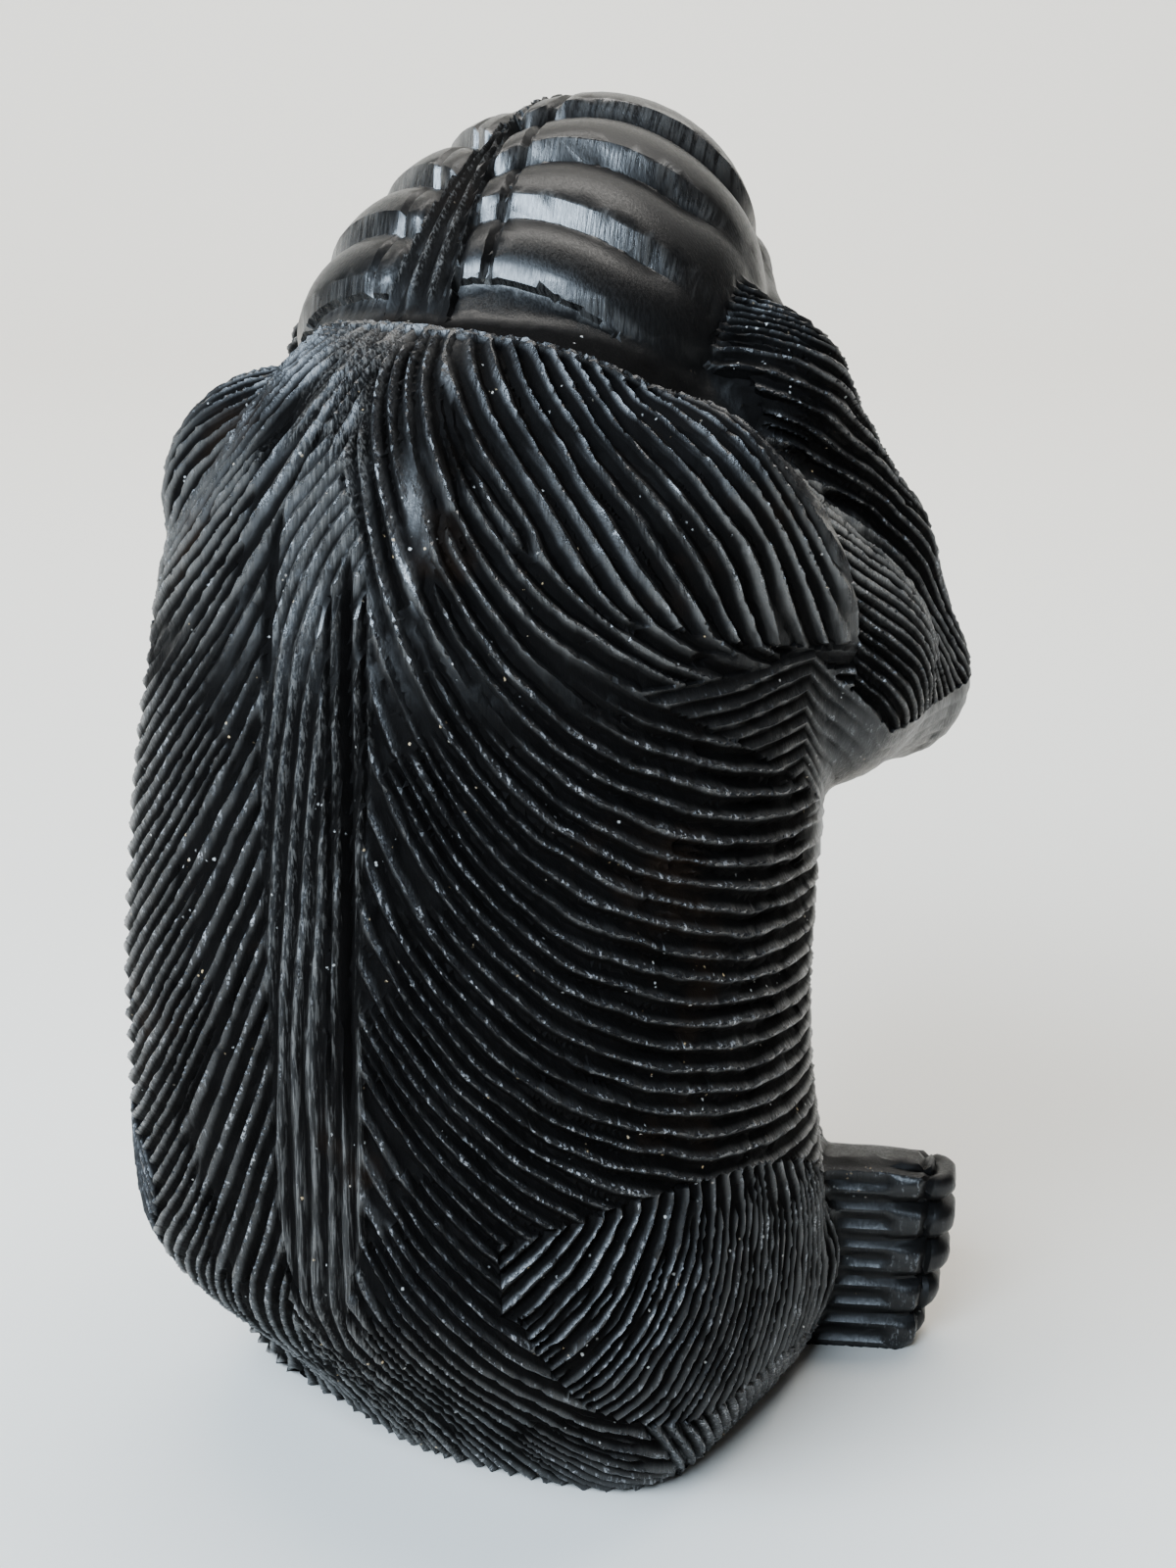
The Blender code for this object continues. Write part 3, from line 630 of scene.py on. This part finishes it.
def skull_cut(p):
    """The cut of the fingers and the hair between them, how tooled they are, and where the hair is."""
    h = head_frame(p)
    out, along = h[..., 1], h[..., 2]
    side = h[..., 0] - PARTING_PLACE - PARTING_SLANT * along
    aside = np.abs(side)
    half = np.clip(PARTING_HALF - PARTING_NARROW * along, PARTING_LEAST, PARTING_MOST)
    tip = aside - half
    edges = [finger_edge(aside, side, rank) for rank in range(len(FINGERS_RIGHT))]
    cut, facet = fingers_cut(along, edges)
    near, far = KNUCKLE_ACROSS
    longer = KNUCKLE_LONGER * ramp(along, *TOP_FINGER_ALONG)
    knuckle = 1.0 - KNUCKLE_FLAT * ramp(aside, near, far + longer)
    below = edges[0] - along
    heel = HEEL_DEPTH - HEEL_RISE * ramp(below, *HEEL_ALONG) + wobble(p, *HEEL_WOBBLE)
    cut = np.where(below > 0.0, FINGER_DEPTH * heel, cut) * knuckle
    tips = (1.0 - ramp(tip, *TIP_ACROSS)) * (below < 0.0)
    cut = cut + TIP_DEPTH * FINGER_DEPTH * tips
    cut = cut + NAIL_DEPTH * groove(tip - NAIL_LENGTH, NAIL_HALF) * (along > edges[0])
    strands = ridge(side + half, 2.0 * half / HAIR_STRANDS, HAIR_POWER, EVEN_LEAN)
    hair = HAIR_DEPTH * (1.0 - strands) + HAIR_SUNK * FINGER_DEPTH
    parting = (tip < 0.0) & (along < PARTING_END)
    cut = np.where(parting, hair, cut)
    scraped = (below > 0.0) * (below < HEEL_ALONG[1]) * ramp(side, *HEEL_ACROSS)
    tooled = facet * knuckle * ~parting + HEEL_SCRAPED * scraped
    return cut * ramp(out, *SKULL_CUT_OUT), tooled, parting


def face_cut(p):
    """Mouth and nostrils."""
    q = face_frame(p)
    x, y, z = q[..., 0], q[..., 1], q[..., 2]
    line = MOUTH_HEIGHT + MOUTH_CURVE * x**2
    mouth = MOUTH_DEPTH * (1.0 - ramp(np.abs(z - line), *LIP_GAP)) * (1.0 - ramp(x, *MOUTH_CORNER))
    away = np.hypot(x - NOSTRIL_SIDE, z - NOSTRIL_HEIGHT)
    nostril = MOUTH_DEPTH * (1.0 - ramp(away, *NOSTRIL_EDGE))
    return (mouth + nostril) * (y < FACE_FRONT)


def shares(p):
    """How much each region has of each point: torso, legs, arms, forearms, feet, head, face, hands."""
    q = mirrored(p)
    distances = np.stack(
        (
            torso(p),
            np.minimum(limb(q, *LEG), limb(q, *SHIN)),
            limb(q, *UPPER_ARM),
            limb(q, *FOREARM),
            foot(q),
            skull(p),
            face(p),
            hand(p),
        )
    )
    share = np.exp(-(distances - distances.min(0)) / SHARE_BLEND)
    return share / share.sum(0)


def carved(p, normal):
    """How deep the carving goes at each point of the smooth form, in units."""
    p = tucked(p)
    q = mirrored(p)
    flip = normal.copy()
    flip[:, 0] = np.where(p[:, 0] < 0.0, -flip[:, 0], flip[:, 0])
    share = shares(p)
    total = np.zeros(len(p))

    def add(weight, cut):
        own = np.nonzero(weight > LEAST_SHARE)[0]
        total[own] += weight[own] * cut(own)

    add(share[TORSO] + share[LEGS], lambda own: body_cut(q[own], flip[own], p[own, 0]))
    add(share[ARMS] + share[FOREARMS], lambda own: arm_cut(q[own], flip[own], p[own, 0]))
    add(share[FEET], lambda own: foot_cut(q[own]))
    add(share[HEAD], lambda own: skull_cut(p[own])[0])
    add(share[FACE], lambda own: face_cut(p[own]))
    return total + wobble(p, *SKIN_WOBBLE) * (1.0 - share[HEAD])


def outward(points, values):
    """Unit normals of the uncut form, whose values at the points are known."""
    rise = np.stack([uncut_form(points + NORMAL_STEP * axis) - values for axis in np.eye(3)], -1)
    return rise / (np.linalg.norm(rise, axis=-1, keepdims=True) + TINY)


def skin():
    """Points and quads of the smooth form, sampled finely only near its surface."""
    coarse = GRID_STEP * CELL
    counts = np.ceil((GRID_HIGH - GRID_LOW) / coarse).astype(int)
    cells = np.stack(np.meshgrid(*[np.arange(n) for n in counts], indexing="ij"), -1)
    rough = form(GRID_LOW + coarse * (cells + 0.5))
    values = rough.astype(np.float32)
    for axis in range(3):
        values = values.repeat(CELL, axis)
    inner = np.stack(np.meshgrid(*[np.arange(CELL)] * 3, indexing="ij"), -1).reshape(-1, 3)
    near = np.argwhere(np.abs(rough) < NEAR_CELLS * coarse)
    for some in np.array_split(near, BATCHES):
        index = (some[:, None] * CELL + inner).reshape(-1, 3)
        found = form(GRID_LOW + GRID_STEP * (index + 0.5))
        values[index[:, 0], index[:, 1], index[:, 2]] = found
    grid = openvdb.FloatGrid(background=OUTSIDE)
    grid.copyFromArray(values)
    points, triangles, quads = grid.convertToPolygons(isovalue=0.0, adaptivity=0.0)
    return GRID_LOW + GRID_STEP * (points + 0.5), quads.tolist() + triangles.tolist()


def carve(points):
    """The smooth form's points moved in by the carving, with the underside kept flat."""
    values = uncut_form(points)
    normals = outward(points, values)
    base = values < -points[:, 2]
    cut = carved(points, normals) * (1.0 - ramp(-values, *INNER_FADE))
    moved = points - (values + cut)[:, None] * normals
    points = np.where(base[:, None], points - cut[:, None] * normals, moved)
    points[points[:, 2] < FLAT_BELOW, 2] = 0.0
    return points


def thinned(fine, triangles):
    """The same surface with fewer triangles, kept where the carving is sharp."""
    form_object = bpy.data.objects.new("form", fine)
    bpy.context.scene.collection.objects.link(form_object)
    facets = form_object.modifiers.new("facets", "DECIMATE")
    facets.ratio = triangles / (2.0 * len(fine.polygons))
    graph = bpy.context.evaluated_depsgraph_get()
    mesh = bpy.data.meshes.new_from_object(form_object.evaluated_get(graph))
    bpy.data.objects.remove(form_object)
    return mesh


def note(mesh, name, values):
    """Keeps a number for each point, which the material reads."""
    layer = mesh.attributes.new(name, "FLOAT", "POINT")
    layer.data.foreach_set("value", np.asarray(values, np.float32))


def note_looks(mesh, points):
    """Keeps how hollow, polished, scraped and worn each point is, and where a sheen is painted on the
    shoulders.
    """
    drawn = tucked(points)
    share = shares(drawn)
    height = drawn[:, 2]
    _, tooled, parting = skull_cut(drawn)
    hair = parting * share[HEAD]
    strip = STRIP_POLISH * smooth_facet(mirrored(drawn))
    polish = share[HEAD:].sum(0) - HAIR_DULL * hair + strip + FOOT_POLISH * share[FEET]
    # A sheen high on the shoulders: grey strokes painted in the colour, with more shine and less
    # roughness
    sheen = SHEEN * ramp(height, *SHEEN_START_HEIGHTS) * (1.0 - ramp(height, *SHEEN_END_HEIGHTS))
    inside = spine_half(height) - np.abs(drawn[:, 0] - spine_middle(height))
    worn = ramp(inside, *SPINE_EDGE) * (drawn[:, 1] > 0.0) * share[TORSO]
    note(mesh, "hollow", -uncut_form(points))
    note(mesh, "polish", np.clip(polish, 0.0, 1.0))
    # The tooled number: the head's tool marks, and the shoulders' painted sheen
    note(mesh, "tooled", np.maximum(tooled * share[HEAD], sheen * (share[TORSO] + share[ARMS])))
    note(mesh, "worn", np.maximum(worn, hair))


def fitted(points):
    """The points moved from drawing units into the box of the solid."""
    low, high = (np.array(corner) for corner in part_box("monkey"))
    own_low, own_high = points.min(0), points.max(0)
    return low + (points - own_low) / (own_high - own_low) * (high - low)


def make_monkey():
    points, faces = skin()
    fine = bpy.data.meshes.new("fine")
    fine.from_pydata(carve(points).tolist(), [], faces)
    mesh = thinned(fine, TRIANGLES)
    bpy.data.meshes.remove(fine)
    mesh.name = "ebony_monkey"
    points = np.empty(3 * len(mesh.vertices))
    mesh.vertices.foreach_get("co", points)
    points = points.reshape(-1, 3)
    points[points[:, 2] < FLAT_BELOW, 2] = 0.0
    note_looks(mesh, points)
    mesh.vertices.foreach_set("co", fitted(points).astype(np.float32).ravel())
    mesh.update()
    mesh.polygons.foreach_set("use_smooth", np.ones(len(mesh.polygons), bool))
    mesh.set_sharp_from_angle(angle=SHARP_ANGLE)
    monkey = bpy.data.objects.new("ebony_monkey", mesh)
    bpy.context.scene.collection.objects.link(monkey)
    return monkey


class Nodes:
    """A short way to write a material's nodes."""

    def __init__(self, name):
        self.material = bpy.data.materials.new(name)
        self.material.use_nodes = True
        self.tree = self.material.node_tree
        self.shader = self.tree.nodes["Principled BSDF"]

    def add(self, kind, settings=None, **sockets):
        node = self.tree.nodes.new(kind)
        for name, value in (settings or {}).items():
            setattr(node, name, value)
        for name, value in sockets.items():
            self.put(node.inputs[name], value)
        return node

    def put(self, socket, value):
        if isinstance(value, bpy.types.NodeSocket):
            self.tree.links.new(value, socket)
        else:
            socket.default_value = value

    def math(self, operation, a, b, clamp=False):
        node = self.add("ShaderNodeMath", {"operation": operation, "use_clamp": clamp})
        self.put(node.inputs[0], a)
        self.put(node.inputs[1], b)
        return node.outputs[0]

    def plus(self, a, b, clamp=False):
        return self.math("ADD", a, b, clamp)

    def minus(self, a, b, clamp=False):
        return self.math("SUBTRACT", a, b, clamp)

    def times(self, a, b):
        return self.math("MULTIPLY", a, b)

    def number(self, name):
        return self.add("ShaderNodeAttribute", {"attribute_name": name}).outputs["Fac"]

    def stretched(self, place, scale):
        node = self.add("ShaderNodeMapping", Vector=place)
        node.inputs["Scale"].default_value = scale
        return node.outputs[0]

    def noise(self, place, scale, detail=3.0, roughness=0.6):
        node = self.add(
            "ShaderNodeTexNoise", Vector=place, Scale=scale, Detail=detail, Roughness=roughness
        )
        return node.outputs["Fac"]

    def mapped(self, value, low, high, to_low=0.0, to_high=1.0):
        node = self.add("ShaderNodeMapRange", {"interpolation_type": "SMOOTHSTEP"}, Value=value)
        node.inputs["From Min"].default_value = low
        node.inputs["From Max"].default_value = high
        node.inputs["To Min"].default_value = to_low
        node.inputs["To Max"].default_value = to_high
        return node.outputs[0]

    def mixed(self, share, a, b):
        node = self.add("ShaderNodeMix", {"data_type": "RGBA"})
        self.put(node.inputs[0], share)
        self.put(node.inputs[6], a)
        self.put(node.inputs[7], b)
        return node.outputs[2]

    def bump(self, height, distance, strength):
        node = self.add("ShaderNodeBump", Height=height, Distance=distance, Strength=strength)
        return node.outputs[0]


BLACK = (0.0036, 0.0032, 0.003, 1.0)
BROWN = (0.02, 0.011, 0.006, 1.0)
# A painted highlight: the paler colour of the crests
CREST_HIGHLIGHT = (0.015, 0.015, 0.016, 1.0)
# Painted glints: pale ticks along the crests
GLINT_TICK = (0.34, 0.34, 0.35, 1.0)
# Grey of tool marks and worn fibres, and of the painted sheen strokes on the shoulders
GREY = (0.085, 0.08, 0.074, 1.0)
PALE_DUST = (0.45, 0.44, 0.42, 1.0)
GOLD_DUST = (0.5, 0.36, 0.2, 1.0)

# The wood's noises: about how often they change in a metre, and how they are drawn out
TORN_SCALE, TORN_STRETCH = 1700.0, (1.0, 1.0, 0.17)
FIBRE_SCALE, FIBRE_STRETCH = 3600.0, (1.0, 1.0, 0.06)
SCRAPE_SCALE, SCRAPE_STRETCH = 3000.0, (1.0, 0.08, 0.05)
CRUMB_SCALE, CRUMB_ROUGHNESS = 2600.0, 0.65
PATCH_SCALE, RAGGED_SCALE, DUST_SCALE = 60.0, 95.0, 900.0
DUST_PATCH_SCALE, DUST_KIND_SCALE = 230.0, 330.0

# Depths below the smooth form, in drawing units, from where each look starts to where it is full
CREST_DEPTHS, PLANE_DEPTHS, VALLEY_DEPTHS = (0.43, 0.09), (0.1, 0.6), (0.2, 0.9)
STREAK_DEPTHS, GRAIN_DEPTHS = (0.8, 0.2), (1.0, 0.1)

# The values of each noise from where a mark starts to where it is full, with its strength
TICK_TORN, TICK_CRUMBS, TICK_RAGGED, TICK_LEAST = (0.54, 0.62), (0.44, 0.56), (0.42, 0.6), 0.25
TICK_HEIGHTS, TICK_HIGH = (0.1, 0.114), 0.3
BROWN_PATCH, BROWN_MOST, CREST_MOST = (0.6, 0.76), 0.35, 0.5
SCRAPE_MARK, SCRAPE_AND_SHEEN_MOST, STREAK_FIBRE = (0.4, 0.6), 0.35, (0.48, 0.62)
SPECK_SIZE, SPECK_RAGGED, SPECK_PATCH, GOLD_KIND = (0.42, 0.33), 0.5, (0.6, 0.66), (0.5, 0.6)

# How rough and how shiny the wood is, and what each look adds or takes
ROUGH, ROUGH_DEEP, ROUGH_CREST, ROUGH_TOOLED = 0.36, 0.3, 0.08, 0.06
ROUGH_FIBRE, FIBRE_RANGE = (-0.05, 0.06), (0.35, 0.65)
SHINE, SHINE_DEEP, SHINE_POLISH, SHINE_TOOLED = 0.55, 0.53, 0.25, 0.65
TORN_RELIEF, CRUMB_RELIEF, FIBRE_RELIEF, SCRAPE_RELIEF = 0.9, 0.35, 0.16, 0.3
GRAIN_LEAST, BUMP_DEPTH, BUMP_STRENGTH = 0.35, 0.00022, 0.8


class Ebony(Nodes):
    """Black wood: satin where polished, dull with painted shade in the furrows, paler on the ridges as
    a painted highlight, with ticks of painted glint.
    """

    def __init__(self):
        super().__init__("ebony")
        self.place = self.add("ShaderNodeTexCoord").outputs["Object"]
        self.hollow, self.polish, self.worn = map(self.number, ("hollow", "polish", "worn"))
        tooled = self.number("tooled")
        self.furred = self.minus(1.0, self.polish, True)
        # The crest share: a painted highlight in the colour, and less roughness
        self.crest = self.times(self.mapped(self.hollow, *CREST_DEPTHS), self.furred)
        # The deep share: duller planes, and little shine at the valley bottoms as painted shade
        plane = self.minus(self.mapped(self.hollow, *PLANE_DEPTHS), tooled, True)
        dull_and_shade = self.math("MAXIMUM", plane, self.mapped(self.hollow, *VALLEY_DEPTHS))
        self.deep = self.times(dull_and_shade, self.furred)
        # Tool marks and the shoulders' painted sheen, kept off the deep parts
        self.tooled = self.minus(tooled, self.deep, True)
        self.torn = self.noise(self.stretched(self.place, TORN_STRETCH), TORN_SCALE)
        self.fibre = self.noise(self.stretched(self.place, FIBRE_STRETCH), FIBRE_SCALE)
        self.scrape = self.noise(self.stretched(self.place, SCRAPE_STRETCH), SCRAPE_SCALE)
        self.crumbs = self.noise(self.place, CRUMB_SCALE, roughness=CRUMB_ROUGHNESS)
        looks = {
            "Base Color": self.dusted(self.streaked(self.glint_ticked(self.wood()))),
            "Roughness": self.roughness(),
            "Specular IOR Level": self.shine(),
            "Normal": self.bump(self.relief(), BUMP_DEPTH, BUMP_STRENGTH),
        }
        for name, value in looks.items():
            self.put(self.shader.inputs[name], value)

    def wood(self):
        """Black with brown hints, a little paler on the crests as a painted highlight."""
        patch = self.noise(self.place, PATCH_SCALE)
        browned = self.times(self.mapped(patch, *BROWN_PATCH, 0.0, BROWN_MOST), self.furred)
        colour = self.mixed(browned, BLACK, BROWN)
        return self.mixed(self.times(self.crest, CREST_MOST), colour, CREST_HIGHLIGHT)

    def glint_ticked(self, colour):
        """Pale ticks along the crests as painted glints, in patches, with fewer of them on the
        shoulders.
        """
        ragged = self.noise(self.place, RAGGED_SCALE, 2.0)
        ragged = self.mapped(ragged, *TICK_RAGGED, TICK_LEAST, 1.0)
        glint_ticks = self.times(self.mapped(self.torn, *TICK_TORN), self.times(self.crest, ragged))
        glint_ticks = self.times(glint_ticks, self.mapped(self.crumbs, *TICK_CRUMBS))
        height = self.add("ShaderNodeSeparateXYZ", Vector=self.place).outputs["Z"]
        glint_ticks = self.times(glint_ticks, self.mapped(height, *TICK_HEIGHTS, 1.0, TICK_HIGH))
        return self.mixed(glint_ticks, colour, GLINT_TICK)

    def streaked(self, colour):
        """Grey tool marks on the scraped facets, grey strokes on the shoulders as a painted sheen, and
        grey fibres on the worn strip.
        """
        marks_and_sheen = self.times(self.mapped(self.scrape, *SCRAPE_MARK), self.tooled)
        colour = self.mixed(self.times(marks_and_sheen, SCRAPE_AND_SHEEN_MOST), colour, GREY)
        strands = self.times(self.mapped(self.fibre, *STREAK_FIBRE), self.worn)
        strands = self.times(strands, self.mapped(self.hollow, *STREAK_DEPTHS))
        return self.mixed(strands, colour, GREY)

    def dusted(self, colour):
        """A few ragged specks of pale and golden dust in the fur."""
        dust = self.add("ShaderNodeTexVoronoi", Vector=self.place, Scale=DUST_SCALE)
        edge = self.plus(dust.outputs["Distance"], self.times(self.crumbs, SPECK_RAGGED))
        patch = self.mapped(self.noise(self.place, DUST_PATCH_SCALE, 2.0), *SPECK_PATCH)
        speck = self.times(self.mapped(edge, *SPECK_SIZE), patch)
        speck = self.times(speck, self.furred)
        kind = self.mapped(self.noise(self.place, DUST_KIND_SCALE, 1.0), *GOLD_KIND)
        return self.mixed(speck, colour, self.mixed(kind, PALE_DUST, GOLD_DUST))

    def roughness(self):
        rough = self.plus(ROUGH, self.times(self.deep, ROUGH_DEEP))
        rough = self.plus(rough, self.mapped(self.fibre, *FIBRE_RANGE, *ROUGH_FIBRE))
        rough = self.minus(rough, self.times(self.crest, ROUGH_CREST))
        return self.minus(rough, self.times(self.tooled, ROUGH_TOOLED), True)

    def shine(self):
        # Less shine deep in the furrows: a duller cut surface, and painted shade at the valley bottoms
        shine = self.minus(SHINE, self.times(self.deep, SHINE_DEEP))
        shine = self.minus(shine, self.times(self.polish, SHINE_POLISH))
        return self.plus(shine, self.times(self.tooled, SHINE_TOOLED), True)

    def relief(self):
        """The finest grain, crumbs, fibres and tool marks, as a height."""
        grain = self.plus(self.times(self.torn, TORN_RELIEF), self.times(self.crumbs, CRUMB_RELIEF))
        grain = self.times(grain, self.mapped(self.hollow, *GRAIN_DEPTHS, GRAIN_LEAST, 1.0))
        scratch = self.times(self.fibre, FIBRE_RELIEF)
        height = self.plus(self.times(grain, self.furred), scratch)
        return self.plus(height, self.times(self.scrape, self.times(self.tooled, SCRAPE_RELIEF)))


def plain(name, colour, roughness):
    n = Nodes(name)
    n.shader.inputs["Base Color"].default_value = colour
    n.shader.inputs["Roughness"].default_value = roughness
    return n.material


# The stage, in metres, with the camera's sensor in millimetres
UP = Vector((0.0, 0.0, 1.0))
FLOOR_HALF, FLOOR_COLOUR, FLOOR_ROUGHNESS = 1.6, (0.8, 0.765, 0.7, 1.0), 0.8
BACKDROP_AWAY, BACKDROP_BEND, BACKDROP_TOP, BEND_STEPS = 0.9, 0.5, 2.5, 24
CAMERA_AZIMUTH, CAMERA_ELEVATION = math.radians(28.0), math.radians(16.0)
CAMERA_AWAY = 0.341
CAMERA_AIM = Vector((-0.010995, 0.00288, 0.076))
FOCAL_PIXELS, FRAME_PIXELS = 3000.0, 1600.0
SENSOR, CLIP_START = 24.0, 0.01

# Each light has a place, an aim, a size, a power in watts and a colour. The wash and its aim are
# so far behind the figure, seen from the camera, and so high.
FIGURE_MIDDLE = 0.08 * UP
WINDOW_PLACE, WINDOW_SIZE = Vector((0.2, 0.95, 0.84)), (1.3, 0.5)
WINDOW_POWER, WINDOW_COLOUR = 54.0, (0.66, 0.82, 1.0)
WASH_BEHIND, WASH_HIGH, WASH_AIM_BEHIND, WASH_AIM_HIGH = 0.35, 1.4, 1.4, 0.35
WASH_SIZE, WASH_POWER, WASH_COLOUR = (1.4, 0.7), 36.0, (1.0, 0.97, 0.92)
ABOVE_PLACE, ABOVE_SIZE = Vector((-0.3, -0.9, 1.4)), (1.2, 1.2)
ABOVE_POWER, ABOVE_COLOUR = 3.0, (1.0, 0.99, 0.97)
STUDIO_COLOUR, STUDIO_STRENGTH = (0.95, 0.97, 1.0, 1.0), 0.07


def view_direction():
    """A unit vector away from the camera."""
    return Vector(
        (
            math.sin(CAMERA_AZIMUTH) * math.cos(CAMERA_ELEVATION),
            -math.cos(CAMERA_AZIMUTH) * math.cos(CAMERA_ELEVATION),
            -math.sin(CAMERA_ELEVATION),
        )
    )


def level_direction():
    """A level unit vector away from the camera."""
    away = view_direction()
    return Vector((away.x, away.y, 0.0)).normalized()


def make_camera():
    away = view_direction()
    camera = bpy.data.objects.new("camera", bpy.data.cameras.new("camera"))
    camera.data.sensor_fit = "VERTICAL"
    camera.data.sensor_height = SENSOR
    camera.data.lens = FOCAL_PIXELS / FRAME_PIXELS * SENSOR
    camera.data.clip_start = CLIP_START
    camera.location = CAMERA_AIM - away * CAMERA_AWAY
    camera.rotation_euler = away.to_track_quat("-Z", "Y").to_euler()
    bpy.context.scene.collection.objects.link(camera)
    bpy.context.scene.camera = camera


def make_floor():
    """A pale sweep: level under the figure and bending up behind it."""
    ahead = level_direction()
    across = Vector((-ahead.y, ahead.x, 0.0))
    profile = [(-FLOOR_HALF, 0.0), (BACKDROP_AWAY, 0.0)]
    for step in range(1, BEND_STEPS + 1):
        angle = math.radians(90.0) * step / BEND_STEPS
        run = BACKDROP_AWAY + BACKDROP_BEND * math.sin(angle)
        profile.append((run, BACKDROP_BEND * (1.0 - math.cos(angle))))
    profile.append((BACKDROP_AWAY + BACKDROP_BEND, BACKDROP_TOP))
    points = []
    for run, height in profile:
        for side in (-FLOOR_HALF, FLOOR_HALF):
            points.append(ahead * run + across * side + Vector((0.0, 0.0, height)))
    faces = [(2 * i, 2 * i + 1, 2 * i + 3, 2 * i + 2) for i in range(len(profile) - 1)]
    mesh = bpy.data.meshes.new("floor")
    mesh.from_pydata([tuple(point) for point in points], [], faces)
    mesh.polygons.foreach_set("use_smooth", np.ones(len(faces), bool))
    mesh.materials.append(plain("pale_floor", FLOOR_COLOUR, FLOOR_ROUGHNESS))
    floor = bpy.data.objects.new("floor", mesh)
    bpy.context.scene.collection.objects.link(floor)


def area_light(name, place, aim, size, power, colour):
    """A soft rectangular light at one place that faces another."""
    data = bpy.data.lights.new(name, "AREA")
    data.shape = "RECTANGLE"
    data.size, data.size_y = size
    data.energy = power
    data.color = colour
    light = bpy.data.objects.new(name, data)
    light.location = place
    light.rotation_euler = (aim - place).to_track_quat("-Z", "Y").to_euler()
    bpy.context.scene.collection.objects.link(light)


def make_lights():
    """A window to the left, a wash over the backdrop and a weak light from above."""
    ahead = level_direction()
    wash = WASH_BEHIND * ahead + WASH_HIGH * UP
    wash_aim = WASH_AIM_BEHIND * ahead + WASH_AIM_HIGH * UP
    area_light("window", WINDOW_PLACE, FIGURE_MIDDLE, WINDOW_SIZE, WINDOW_POWER, WINDOW_COLOUR)
    area_light("wash", wash, wash_aim, WASH_SIZE, WASH_POWER, WASH_COLOUR)
    area_light("above", ABOVE_PLACE, FIGURE_MIDDLE, ABOVE_SIZE, ABOVE_POWER, ABOVE_COLOUR)
    world = bpy.data.worlds.new("studio")
    bpy.context.scene.world = world
    world.use_nodes = True
    background = world.node_tree.nodes["Background"]
    background.inputs["Color"].default_value = STUDIO_COLOUR
    background.inputs["Strength"].default_value = STUDIO_STRENGTH


make_camera()
make_lights()
make_floor()
monkey = make_monkey()
monkey.data.materials.clear()
monkey.data.materials.append(Ebony().material)
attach(monkey, "root")
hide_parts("monkey")
